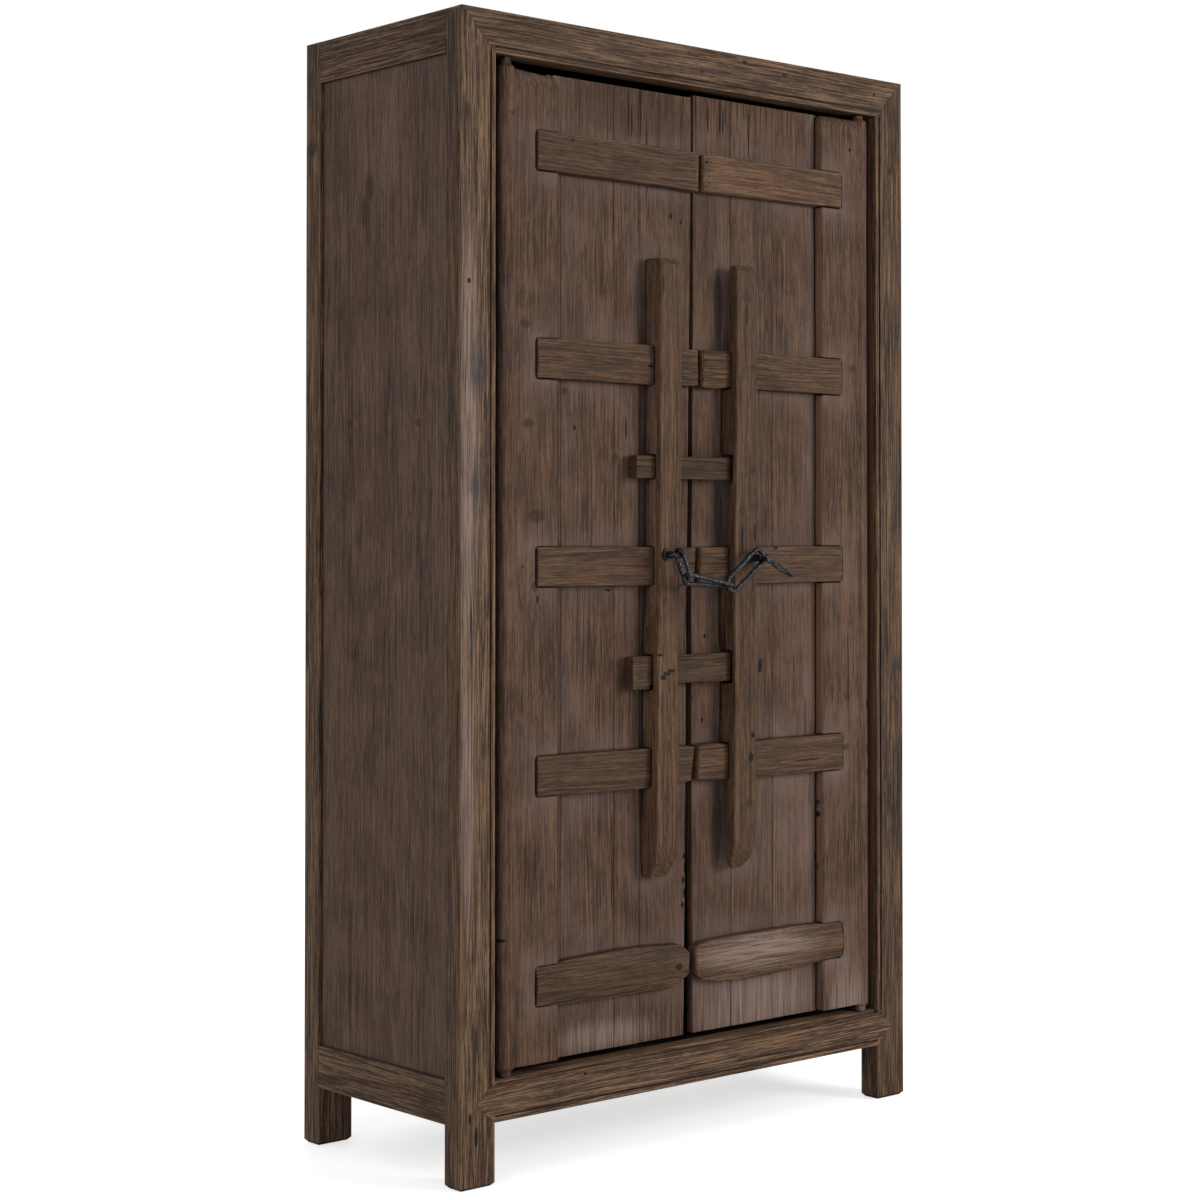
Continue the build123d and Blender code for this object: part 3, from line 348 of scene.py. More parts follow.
def weathered_wood(name, marks, matt, dark, mid, light, dust, stain, fibres, stains, dustiness, knots, rubbing):
    """Old elm and fir, brushed so that the soft early wood sinks, then waxed.

    The eye gets standing grain lines about 5 mm apart, short open pores, long dark checks, blue-grey streaks, small
    knots and pale rubbed arrises, with painted shade in creases and listed hollows and painted light on listed faces.
    """
    material, tree = new_material(name)

    def piled(base, *parts):
        """A base with patterns added to it, each times its weight."""
        for pattern, weight in parts:
            base = add(tree, "Math", pattern, weight, base, operation="MULTIPLY_ADD")
        return base

    def together(*terms):
        """How far patterns come in together. A term is a ready amount, or a pattern with the two levels between which
        it comes in softly and, where they aren't 0 and 1, the amounts there."""
        total = None
        for term in terms:
            if isinstance(term, tuple):
                term = add(tree, "MapRange", *(*term, 0.0, 1.0)[:5], interpolation_type="SMOOTHSTEP")
            total = term if total is None else add(tree, "Math", total, term, operation="MULTIPLY")
        return total

    def coat(under, over, strength, *terms):
        """Lays a colour over another as far as the terms come in, and nothing for a kind of mark that isn't there."""
        if None in [term[0] if isinstance(term, tuple) else term for term in terms]:
            return under
        amount = add(tree, "Math", together(*terms), strength, operation="MULTIPLY")
        return add(tree, "Mix", data_type="RGBA", _0=amount, _6=under, _7=over, out=2)

    grain, near, far, plank = (add(tree, "Attribute", attribute_name=kept, out="Vector")
                               for kept in ("grain", "near", "far", "plank"))
    tone, wear, _ = add(tree, "SeparateXYZ", plank, out=None)
    halo = add(tree, "Attribute", attribute_name="halo", out="Fac")

    # the trunk's own wander, up to 7 mm either way over half a metre
    slow = add(tree, "VectorMath", grain, (7.0, 7.0, 2.4), operation="MULTIPLY")
    wander = add(tree, "TexNoise", Vector=slow, Scale=1.0, Detail=1.5, out="Color")
    wander = add(tree, "VectorMath", wander, (0.014, 0.014, 0.0), (-0.007, -0.007, 0.0), operation="MULTIPLY_ADD")
    bent = add(tree, "VectorMath", grain, wander, operation="ADD")

    # knots: one in every 200 mm square, most of them left out
    squares = add(tree, "VectorMath", grain, (5.0, 2.5, 4.2), operation="MULTIPLY")
    cells = add(tree, "TexVoronoi", Vector=squares, Scale=1.0, voronoi_dimensions="3D", out=None)
    chosen = add(tree, "Math", add(tree, "SeparateXYZ", cells["Color"]), knots, operation="LESS_THAN")
    knot_core = together((cells["Distance"], 0.050, 0.028), chosen)
    knot_pull = together((cells["Distance"], 0.26, 0.0), chosen)

    # growth rings round a pith beside the plank, 5.5 mm apart, running out along the length and round the knots
    across, deep, along = add(tree, "SeparateXYZ", bent, out=None)
    squared = piled(add(tree, "Math", across, across, operation="MULTIPLY"), (deep, deep))
    run_out = piled(add(tree, "Math", squared, operation="SQRT"), (along, 0.016))
    ring = add(tree, "Math", piled(0.0, (run_out, 1 / 0.0055), (knot_pull, 2.6)), operation="FRACT")
    late_wood = together((ring, 0.50, 0.88), (ring, 1.0, 0.92))

    def streaks(across_mm, along_mm, detail=3.0, rough=0.55):
        """Noise drawn out along the grain; a streak is about across_mm wide and along_mm long."""
        stretch = (1000 / across_mm, 1000 / across_mm, 1000 / along_mm)
        place = add(tree, "VectorMath", bent, stretch, operation="MULTIPLY")
        return add(tree, "TexNoise", Vector=place, Scale=1.0, Detail=detail, Roughness=rough)

    # real fibres are 0.1 mm and pores 0.3 mm wide; both are drawn 2 to 3 mm wide so that they show
    fibre = streaks(2.4, 150, 2.0)
    pores = streaks(2.2, 18, 1.0)
    dashes = streaks(2.6, 26, 1.0)
    band = streaks(13, 480, 4.0, 0.62)
    drift = streaks(120, 500)
    soot = streaks(14, 260, 5.0, 0.7)
    cloud = add(tree, "TexNoise", Vector=grain, Scale=13.0, Detail=4.0, Roughness=0.6)

    # splits follow the middle level of a noise, checks its highest peaks
    seam = add(tree, "Math", piled(-0.5, (streaks(12, 380, 2.0), 1.0)), operation="ABSOLUTE")
    split = together((seam, 0.030, 0.006), (streaks(45, 420, 2.0), 0.50, 0.60))
    check = together((streaks(7, 420, 2.0, 0.5), 0.690, 0.715), (drift, 0.45, 0.60))

    # the rims of marks wander up to 4.5 mm either way, and those of narrow ones a quarter of that
    here = add(tree, "TexCoord", out="Object")
    wobble = add(tree, "TexNoise", Vector=grain, Scale=160.0, Detail=2.0, out="Color")
    wobble = add(tree, "VectorMath", wobble, (0.009,) * 3, (-0.0045,) * 3, operation="MULTIPLY_ADD")
    ragged = add(tree, "VectorMath", here, wobble, operation="ADD")
    crisp = add(tree, "VectorMath", wobble, (0.25,) * 3, here, operation="MULTIPLY_ADD")

    def listed(kind, thick=12, narrow=4):
        """How near this point is to a listed mark, 1 at the mark's rim; None where the finish has no such mark."""
        nearest = None
        for x, behind, z, wide, high in MARKS.get((marks, kind), ()):
            on_side = x < -PANEL_FACE / MM and behind > 50
            half = (thick, wide, high) if on_side else (wide, thick, high)
            sharp = kind in CRISP_MARKS or kind == "hole_and_shadow_line" and min(wide, high) < narrow
            off = add(tree, "VectorMath", crisp if sharp else ragged, [1000 / h for h in half],
                      [-c / h for c, h in zip((x, FRONT + behind, z), half)], operation="MULTIPLY_ADD")
            length = add(tree, "VectorMath", off, operation="LENGTH", out="Value")
            nearest = length if nearest is None else add(tree, "Math", nearest, length, operation="MINIMUM")
        return nearest

    # pale mauve dust lies in the hollows and against whatever stands on the plank
    settled = piled(together((cloud, 0.48, 0.72, 0.0, 0.22)), (halo, piled(0.05, (cloud, 1.6))))
    settled = add(tree, "Math", settled, dustiness, operation="MULTIPLY", use_clamp=True)

    # rubbed arrises: the second least of the distances to the plank's own faces
    x, y, z = add(tree, "SeparateXYZ", add(tree, "VectorMath", near, far, operation="MINIMUM"), out=None)
    lesser, greater = (add(tree, "Math", x, y, operation=which) for which in ("MINIMUM", "MAXIMUM"))
    edge = add(tree, "Math", lesser, add(tree, "Math", greater, z, operation="MINIMUM"), operation="MAXIMUM")
    rubbed = together((piled(edge, (cloud, 0.006)), 0.0068, 0.0032), (streaks(12, 90), 0.40, 0.62), wear)

    # worm and nail holes, 4 mm across, in a quarter of the 67 mm cells
    pits = add(tree, "TexVoronoi", Vector=grain, Scale=15.0, voronoi_dimensions="3D", out=None)
    few = add(tree, "Math", add(tree, "SeparateXYZ", pits["Color"]), 0.25, operation="LESS_THAN")
    hole_and_shadow_line = together((pits["Distance"], 0.036, 0.022), few)
    # the listed holes, and the painted shadow lines among them
    gap = listed("hole_and_shadow_line")
    if gap:
        hole_and_shadow_line = add(tree, "Math", hole_and_shadow_line, together((gap, 1.25, 0.8)), operation="MAXIMUM")

    side_light, blue, knot = (listed(kind) for kind in ("side_light", "blue", "knot"))
    knot_ring = knot and add(tree, "Math", piled(-0.95, (knot, 1.0)), operation="ABSOLUTE")

    # painted shade: ambient occlusion darkens the colour where two pieces meet
    crease = add(tree, "AmbientOcclusion", Distance=0.006, samples=8, out="AO")

    # the coats of colour from the first to the last: each one's colour, its strength and how it comes in
    colour = coat(dark, mid, 1.0, (band, 0.30, 0.62, 0.45, 1.0))
    for over, strength, *terms in (
        (light, 0.40, (drift, 0.40, 0.72)),
        (stain, 0.5 * stains, (soot, 0.54, 0.68)),
        (dark, 0.38, (cloud, 0.58, 0.38)),
        (dark, 0.30 + 0.15 * fibres, late_wood),
        (light, 0.22 + 0.75 * fibres, (fibre, 0.50, 0.62)),
        (dark, 0.36 + 0.65 * fibres, (fibre, 0.50, 0.37)),
        (dark, 0.45, (pores, 0.55, 0.70)),
        (dark, 0.34, (dashes, 0.54, 0.68)),
        (light, 0.30, (dashes, 0.46, 0.33)),
        (CRACK, 0.55, split),
        (dust, 0.68, settled),
        # painted shade at the listed places
        (dark, 0.34, (listed("shade"), 1.2, 0.8)),
        # painted light at the listed places
        (PALE_DUST_AND_LIGHT, 0.16, (listed("flank"), 1.3, 0.5)),
        # pale dust and rubbing, and painted sheen on the front-left post
        (PALE_DUST_AND_LIGHT, 1.0, (listed("pale"), 1.3, 0.2), (fibre, 0.40, 0.60, 0.30, 0.75)),
        # painted shadow at the listed places
        (SHADOW_PAINT, 0.6, (listed("painted_shadow"), 1.15, 0.75)),
        # painted light on the listed side faces
        (SIDE_LIGHT_PAINT, 1.0, (side_light, 1.2, 0.8), side_light and piled(0.35, (fibre, 0.8))),
        (BLUE_STAIN, 0.7, (blue, 1.1, 0.3), (blue and piled(band, (cloud, 1.0)), 0.85, 1.15)),
        (light, rubbing, rubbed),
        (KNOT, 0.6, knot_core),
        (CHECK, 0.85, check),
        (dark, 0.35, (knot, 2.0, 1.2)),
        (KNOT_RIM, 0.45, (knot_ring, 0.40, 0.12)),
        (KNOT_HEART, 0.7, (knot, 0.8, 0.4)),
        # holes, and painted shadow lines
        (HOLE_AND_SHADOW_LINE, 1.0, hole_and_shadow_line),
        # painted shade in the creases
        (CREASE_SHADE, 0.85, (crease, 0.88, 0.42)),
    ):
        colour = coat(colour, over, strength, *terms)
    colour = add(tree, "HueSaturation", Value=tone, Color=colour)

    relief = piled(fibre, (pores, -0.8), (late_wood, 0.35), (band, 0.8), (split, -0.8), (check, -1.6), (hole_and_shadow_line, -1.2),
                   (knot_core, 0.5))
    bump = add(tree, "Bump", Strength=0.9, Distance=0.0016, Height=relief)
    rough = piled(matt - 0.10, (band, 0.16), (settled, 0.16))
    shader = add(tree, "BsdfPrincipled", Base_Color=colour, Roughness=rough, IOR=1.45, Specular_IOR_Level=0.23,
                 Normal=bump)
    add(tree, "OutputMaterial", Surface=shader, out=None)
    return material


def forged_iron():
    """Wrought iron drawn at the forge, left black from the fire, rubbed on the high spots and rusted where it was not.

    The eye gets soft hammer flats about 7 mm across, blue-grey glints and dull brown patches.
    """
    material, tree = new_material("wrought iron, forge black")
    place = add(tree, "TexCoord", out="Object")
    flats = add(tree, "TexVoronoi", Vector=place, Scale=150.0, Smoothness=0.6, feature="SMOOTH_F1", out="Distance")
    crust = add(tree, "TexNoise", Vector=place, Scale=420.0, Detail=4.0, Roughness=0.65)
    patches = add(tree, "TexNoise", Vector=place, Scale=70.0, Detail=5.0, Roughness=0.65)
    rusted = add(tree, "MapRange", patches, 0.52, 0.66, interpolation_type="SMOOTHSTEP")
    rubbed = add(tree, "MapRange", crust, 0.53, 0.64, interpolation_type="SMOOTHSTEP")
    black = add(tree, "Mix", data_type="RGBA", _0=rubbed, _6=tint("#25282D"), _7=tint("#66727A"), out=2)
    colour = add(tree, "Mix", data_type="RGBA", _0=rusted, _6=black, _7=tint("#3B2A22"), out=2)
    rough = add(tree, "MapRange", rusted, To_Min=0.42, To_Max=0.75)
    metal = add(tree, "MapRange", rusted, To_Min=0.9, To_Max=0.25)
    height = add(tree, "Math", crust, 0.35, flats, operation="MULTIPLY_ADD")
    bump = add(tree, "Bump", Strength=0.7, Distance=0.0008, Height=height)
    shader = add(tree, "BsdfPrincipled", Base_Color=colour, Roughness=rough, Metallic=metal, Normal=bump)
    add(tree, "OutputMaterial", Surface=shader, out=None)
    return material


FINISHES = {}


def finish(name):
    """One of the cabinet's finishes, each made once."""
    if name not in FINISHES and name == "iron":
        FINISHES[name] = forged_iron()
    elif name not in FINISHES:
        wax = bpy.context.scene.cabinet_finish
        wood = {key: tint(value) if str(value).startswith("#") else value for key, value in WOODS[name].items()}
        wood.setdefault("dark", list(wax.dark))
        FINISHES[name] = weathered_wood(marks=name, matt=wax.matt + wood.pop("duller"), **wood)
    return FINISHES[name]


# ---------------------------------------------------------------- working on a piece

def only(piece):
    """Selects one object alone and makes it the active one."""
    if bpy.context.mode != "OBJECT":
        bpy.ops.object.mode_set(mode="OBJECT")
    bpy.ops.object.select_all(action="DESELECT")
    piece.select_set(True)
    bpy.context.view_layer.objects.active = piece


def points(piece):
    found = np.empty(len(piece.data.vertices) * 3)
    piece.data.vertices.foreach_get("co", found)
    return found.reshape(-1, 3)


def set_points(piece, where):
    piece.data.vertices.foreach_set("co", np.ascontiguousarray(where, np.float32).ravel())
    piece.data.update()


def sawn_blank(node):
    """A copy of a node's mesh, its loose triangles merged and its flat faces made whole."""
    piece = bpy.data.objects.new(node + "_worn", NODES[node].data.copy())
    bpy.context.scene.collection.objects.link(piece)
    piece.data.materials.clear()
    only(piece)
    bpy.ops.object.mode_set(mode="EDIT")
    bpy.ops.mesh.select_all(action="SELECT")
    bpy.ops.mesh.remove_doubles(threshold=1e-5)
    bpy.ops.mesh.customdata_custom_splitnormals_clear()
    bpy.ops.mesh.dissolve_limited(angle_limit=math.radians(0.5))
    bpy.ops.object.mode_set(mode="OBJECT")
    return piece


def finish_with(piece, kind, **settings):
    """Adds a modifier, sets it and applies it."""
    only(piece)
    tool = piece.modifiers.new(kind.title(), kind)
    for name, value in settings.items():
        setattr(tool, name, value)
    bpy.ops.object.modifier_apply(modifier=tool.name)


def cut_at(piece, axis, places):
    """Bisects the piece across one axis at each place, in metres."""
    normal = [0.0, 0.0, 0.0]
    normal[axis] = 1.0
    only(piece)
    bpy.ops.object.mode_set(mode="EDIT")
    for place in places:
        bpy.ops.mesh.select_all(action="SELECT")
        bpy.ops.mesh.bisect(plane_co=[place * n for n in normal], plane_no=normal)
    bpy.ops.object.mode_set(mode="OBJECT")


def cut_rings(piece, axis, step):
    """Bisects the piece across one axis about every step metres."""
    where = points(piece)
    low, high = where[:, axis].min(), where[:, axis].max()
    count = int((high - low) / step)
    cut_at(piece, axis, [low + (high - low) * i / count for i in range(1, count)])


def by_length(piece):
    """The three axes, from the one that the piece is longest along."""
    where = points(piece)
    size = where.max(0) - where.min(0)
    return sorted(range(3), key=lambda axis: -size[axis])


def uneven(piece, depth, wide, long, seed, edges="", level=1.0):
    """Wears the surface inwards by up to depth, in hollows wide across and long along the grain. A level under 1 lets
    some of it swell outwards."""
    cloud = bpy.data.textures.new("hollows", "CLOUDS")
    cloud.noise_scale = 0.25
    cloud.noise_depth = 2
    ruler = bpy.data.objects.new("ruler", None)
    bpy.context.scene.collection.objects.link(ruler)
    size = [wide / cloud.noise_scale] * 3
    size[by_length(piece)[0]] = long / cloud.noise_scale
    ruler.scale = size
    ruler.location = (seed * 1.37 % 5, seed * 2.11 % 7, seed * 0.73 % 3)
    bpy.context.view_layer.update()
    finish_with(piece, "DISPLACE", texture=cloud, texture_coords="OBJECT", texture_coords_object=ruler,
                mid_level=level, strength=depth, vertex_group=edges)
    bpy.data.objects.remove(ruler)
    bpy.data.textures.remove(cloud)


def mark_grain(piece, node, seed, tone=1.0, wear=1.0, halo=None):
    """Stores what the wood reads: place in the log, distances to the plank's faces, tone, wear and settled dust."""
    where = points(piece)
    low, high = (np.array(corner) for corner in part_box(node))
    size = high - low
    along = int(np.argmax(size))
    across, depth = sorted((a for a in range(3) if a != along), key=lambda a: -size[a])
    middle = (low + high) / 2
    rng = np.random.default_rng(seed)
    pith = rng.uniform(-0.03, 0.03), rng.uniform(0.03, 0.09) * rng.choice((-1, 1))
    grain = np.stack([where[:, across] - middle[across] + pith[0],
                      where[:, depth] - middle[depth] + pith[1],
                      where[:, along] + rng.uniform(-8, 8)], 1)
    plank = np.tile((tone * rng.uniform(0.94, 1.06), wear, 0.0), (len(where), 1))
    attributes = piece.data.attributes
    for name, values in (("grain", grain), ("near", where - low), ("far", high - where), ("plank", plank)):
        stored = attributes.new(name, "FLOAT_VECTOR", "POINT").data
        stored.foreach_set("vector", values.astype(np.float32).ravel())
    values = np.zeros(len(where)) if halo is None else halo(where)
    attributes.new("halo", "FLOAT", "POINT").data.foreach_set("value", values.astype(np.float32))


def settle(piece, node, material):
    """Puts the finished piece in the node's place, nothing of it outside the cabinet's own box."""
    set_points(piece, np.clip(points(piece), *CAD_BOX))
    piece.data.materials.clear()
    piece.data.materials.append(material)
    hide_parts(node)
    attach(piece, NODES[node]["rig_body"])


def smooth(piece, angle=180):
    """Shades the piece smooth, but for edges sharper than an angle in degrees."""
    only(piece)
    if angle == 180:
        bpy.ops.object.shade_smooth()
    else:
        bpy.ops.object.shade_smooth_by_angle(angle=math.radians(angle))


def pull(piece, chosen, way, along, stations):
    """Moves the chosen points one way by a profile: stations are (place along the piece, shift)."""
    where = points(piece)
    picked = chosen(where)
    places, shifts = zip(*sorted(stations))
    where[picked, way] += MM * np.interp(where[picked, along] / MM, places, shifts)
    set_points(piece, where)


def worked_groove(piece, across, edge, away, reach, along):
    """Works the quirk of a bead on the case's front face beside the door opening."""
    stations = [(edge + away * offset, drop) for offset, drop in QUIRK]
    cut_at(piece, across, [place * MM for place, drop in stations[1:]])
    cut_at(piece, along, [place * MM for place in reach])

    def chosen(where):
        on_face = np.abs(where[:, Y] / MM - FRONT) < 0.7
        if reach:
            place = where[:, along] / MM
            on_face &= (place > reach[0] + 0.1) & (place < reach[1] - 0.1)
        return on_face
    pull(piece, chosen, Y, across, stations)


def planed(node, material, slot, seed, arris=1.2, hollow=0.6, step=0.07, cross=None, shape=None, bead=None, **marks):
    """A timber with straight arrises, a little rubbed, and a slight wave along its length. It is cut every step metres
    along and every cross metres across."""
    piece = sawn_blank(node)
    cut_rings(piece, by_length(piece)[0], step)
    if cross:
        cut_rings(piece, by_length(piece)[1], cross)
    if shape:
        shape(piece)
    finish_with(piece, "BEVEL", width=arris * MM, segments=2, limit_method="ANGLE", angle_limit=math.radians(35),
                harden_normals=False)
    if bead:
        worked_groove(piece, *bead)
    uneven(piece, hollow * MM, 0.05, 0.25, seed)
    smooth(piece, 35)
    finish_with(piece, "WEIGHTED_NORMAL", keep_sharp=True, weight=80)
    mark_grain(piece, node, seed, **marks)
    settle(piece, node, material)


def weigh(piece, name, weights):
    """A vertex group from an array of weights between 0 and 1, in tenths."""
    group = piece.vertex_groups.new(name=name)
    for tenths in range(1, 11):
        group.add(np.flatnonzero(np.round(weights * 10) == tenths).tolist(), tenths / 10, "REPLACE")


def hewn(node, material, slot, seed, grid=1.7, hollow=1.3, dents=0.5, shape=None, chewed=None, sloped=None, **marks):
    """A hand-hewn timber of the old doors: every arris worn round and the faces uneven. Where it is chewed, bites go
    deep, and where it is sloped, the surface is worn smoother."""
    piece = sawn_blank(node)
    if shape:
        shape(piece)
    finish_with(piece, "REMESH", mode="VOXEL", voxel_size=grid * MM, adaptivity=0.0)
    finish_with(piece, "SMOOTH", factor=0.5, iterations=2)
    if sloped:
        weigh(piece, "sloped", sloped(points(piece)))
        finish_with(piece, "SMOOTH", factor=0.5, iterations=10, vertex_group="sloped")
        piece.vertex_groups.clear()
    uneven(piece, hollow * MM, 0.05, 0.20, seed)
    uneven(piece, dents * MM, 0.010, 0.03, seed + 11)
    if chewed:
        weigh(piece, "chewed", chewed(points(piece)))
        uneven(piece, 5 * MM, 0.010, 0.012, seed + 23, "chewed")
        piece.vertex_groups.clear()
    smooth(piece)
    mark_grain(piece, node, seed, **marks)
    settle(piece, node, material)


def hammered(node, seed, swell=1.7, shape=None):
    """A forged rod: never quite round, thickened and thinned by the hammer every few millimetres."""
    piece = sawn_blank(node)
    if shape:
        shape(piece)
    finish_with(piece, "REMESH", mode="VOXEL", voxel_size=0.75 * MM, adaptivity=0.0)
    finish_with(piece, "SMOOTH", factor=0.5, iterations=2)
    uneven(piece, swell * MM, 0.0035, 0.0035, seed, level=0.08)
    smooth(piece)
    settle(piece, node, finish("iron"))


def against(*nodes, reach=0.028, face=(X, Z)):
    """Dust that has settled on a board's outer face against the pieces that stand on it, seen square on to a face. It
    thins out over reach metres."""
    def halo(where):
        if face == (X, Z):
            outer = where[:, Y] < CASE_FRONT + (BOARD + 8) * MM
        else:
            outer = np.abs(where[:, X]) > PANEL_FACE
        most = np.zeros(len(where))
        for node in nodes:
            low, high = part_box(node)
            off = [np.maximum(np.maximum(low[a] - where[:, a], where[:, a] - high[a]), 0) for a in face]
            most = np.maximum(most, np.exp(-np.hypot(*off) / reach))
        return most * outer
    return halo


# ---------------------------------------------------------------- how hand and weather have shaped the old timbers

def front_face(where):
    return where[:, Y] / MM < FRONT + 0.5


def batten_shape(node):
    side, number = node.split("_")[0], int(node[-1])
    sign = -1 if side == "left" else 1
    low, high = (corner.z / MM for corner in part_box(node))
    middle = (low + high) / 2
    below, above = BATTEN_ENDS[side][number - 1]
    end = ((low, below), (middle, (below + above) / 2), (high, above))
    upper, lower = BATTEN_EDGES.get((side, number), PLAIN_EDGES)
    # the top battens are hewn from a round branch: the face falls away towards both edges
    if number == 1:
        face = ((low - 12, 9), (low + 10, 3), (middle, 0), (high - 8, 4), (high + 8, 9))
    else:
        face = ((low - 3, 3), (low + 12, 0.5), (middle, 0), (high - 12, 0.5), (high + 3, 2))

    def shape(piece):
        cut_rings(piece, X, 0.019)
        cut_rings(piece, Z, 0.017)
        pull(piece, lambda where: where[:, Z] / MM > high - 1, Z, X, [(sign * x, shift) for x, shift in upper])
        pull(piece, lambda where: where[:, Z] / MM < low + 1, Z, X, [(sign * x, shift) for x, shift in lower])
        pull(piece, lambda where: np.abs(where[:, X]) / MM < 30, X, Z, [(z, x - sign * MEETING) for z, x in end])
        if node == "right_batten_5":
            pull(piece, front_face, Y, X, ((11, 4), (38, 0.3), (60, 0)))
        pull(piece, front_face, Y, Z, face)
    return shape


def board_shape(node):
    """The last board of each door stops on the wavering line where the doors meet."""
    if not node.endswith("3"):
        return None
    side = node.split("_")[0]
    edge = MEETING if side == "right" else -MEETING
    stations = [(z, x - edge) for z, x in MEETING_EDGE[side]]
    return lambda piece: pull(piece, lambda where: np.abs(where[:, X] / MM - edge) < 0.4, X, Z, stations)


def pole_shape(node):
    wear = POLE_WEAR[node]
    left, right = wear["sides"]
    foot, head = (corner.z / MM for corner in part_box(node))

    def shape(piece):
        for start, stop, step in ((foot, foot + 90, 9), (foot + 90, head, 45), (head - 24, head, 6)):
            cut_at(piece, Z, [z * MM for z in np.arange(start + step, stop, step)])
        where = points(piece)
        z = where[:, Z] / MM
        rise = z - foot
        to_left = np.clip((right - where[:, X] / MM) / (right - left), 0, 1)
        for name, height in (("", z), ("_foot", rise)):
            shift = [np.interp(height, *zip(*wear[side + name])) for side in SIDES]
            where[:, X] += MM * (to_left * shift[0] + (1 - to_left) * shift[1])
        to_front = np.clip((FRONT + BOARD - where[:, Y] / MM) / (BOARD - POLE), 0, 1)
        where[:, Y] += MM * to_front * np.interp(rise, *zip(*POLE_FOOT_FRONT))
        # the head is worn to a low dome
        down = head - z
        where[:, X] += MM * (to_left - (1 - to_left)) * np.interp(down, (0, 4, 12), (3, 1, 0))
        where[:, Z] += MM * np.where(down < 1, 2.5, 0)
        set_points(piece, where)
    return shape


def stile_shape(node):
    """The top of each stile is worn down beside its column, and the bevel there is long."""
    side = node.split("_")[0]
    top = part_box(f"{side}_door_board_1")[1].z / MM
    drop = 7 if side == "left" else 1

    def worn_top(where):
        z = where[:, Z] / MM
        return (z > top - 12) & (z < top + 1) & (np.abs(where[:, X]) / MM < 426)

    def bevel_foot(where):
        return (np.abs(where[:, Z] / MM - (top - 16)) < 1) & (where[:, Y] / MM < FRONT + 6)

    def shape(piece):
        cut_rings(piece, Z, 0.05)
        pull(piece, worn_top, Z, X, ((0, -drop),))
        pull(piece, bevel_foot, Z, X, ((0, -16),))
    return shape


def bolt_shape(piece):
    """The lower bolt's handle sits lower than the bolt."""
    pull(piece, lambda where: where[:, X] / MM < -105, X, Z, ((0, -9.5),))


def sprung_legs(piece, inside=0.028, tip=0.004, bow=0.003):
    """Bows the hairpin's two legs apart, in metres, between the staple and the tip."""
    cut_rings(piece, X, 0.005)
    where = points(piece)
    low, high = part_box("hairpin")
    share = np.clip((where[:, X] - low.x - inside) / (high.x - low.x - inside - tip), 0, 1)
    where[:, Z] += np.where(where[:, Y] < (low.y + high.y) / 2, bow, -bow) * np.sin(math.pi * share)
    set_points(piece, where)


# ---------------------------------------------------------------- sizes and colours a user would change

class CabinetFinish(bpy.types.PropertyGroup):
    arris: bpy.props.FloatProperty(
        name="Case arris", description="Width of the rubbed edge on the case timbers",
        default=1.2 * MM, min=0.2 * MM, max=4.0 * MM, precision=5, unit="LENGTH")
    hollow: bpy.props.FloatProperty(
        name="Door hollows", description="Depth of the worn hollows in the door timbers",
        default=1.3 * MM, min=0.0, max=4.0 * MM, precision=5, unit="LENGTH")
    matt: bpy.props.FloatProperty(
        name="Wax roughness", description="Roughness of the waxed wood",
        default=0.66, min=0.2, max=1.0, subtype="FACTOR")
    dark: bpy.props.FloatVectorProperty(
        name="Dark grain", description="Colour of the dark grain",
        default=tint("#2C1E17"), size=4, min=0.0, max=1.0, subtype="COLOR")
    key_power: bpy.props.FloatProperty(
        name="Key light", description="Power of the large front lamp", default=142.0, min=0.0, unit="POWER")
    lens: bpy.props.FloatProperty(
        name="Lens", description="Focal length of the camera", default=73.04, min=10.0, unit="CAMERA")


# ---------------------------------------------------------------- operators, one for each group of like pieces

class CABINET_OT_case(bpy.types.Operator):
    """Posts, rails and side panels of the case"""
    bl_idname = "cabinet.case"
    bl_label = "Case timbers"

    def execute(self, context):
        arris = context.scene.cabinet_finish.arris / MM
        for n, node in enumerate(POSTS + FRONT_RAILS + SIDE_RAILS + BACK_RAILS, SEEDS["case"]):
            slot = "inner_wood" if node == "back_middle_rail" else "case_wood"
            planed(node, finish("case"), slot, n, arris=arris, bead=BEADS.get(node), tone=TONES.get(node, 1.0))
        for n, (node, side) in enumerate(zip(SIDE_PANELS, SIDES), SEEDS["panels"]):
            dust = against(f"front_{side}_post", f"back_{side}_post", f"{side}_top_rail", f"{side}_bottom_rail",
                           face=(Y, Z))
            planed(node, finish("panel"), "case_wood", n, arris=0.6, hollow=0.5, step=0.03, cross=0.02,
                   wear=0.0, halo=dust)
        return {"FINISHED"}


class CABINET_OT_inside(bpy.types.Operator):
    """Shelves, bearers, back boards, top and floor"""
    bl_idname = "cabinet.inside"
    bl_label = "Inside boards"

    def execute(self, context):
        for n, node in enumerate(SHELVES + BEARERS + BACK_BOARDS, SEEDS["inside"]):
            planed(node, finish("inner"), "inner_wood", n, arris=1.0, hollow=0.5, step=0.12, wear=0.4)
        return {"FINISHED"}


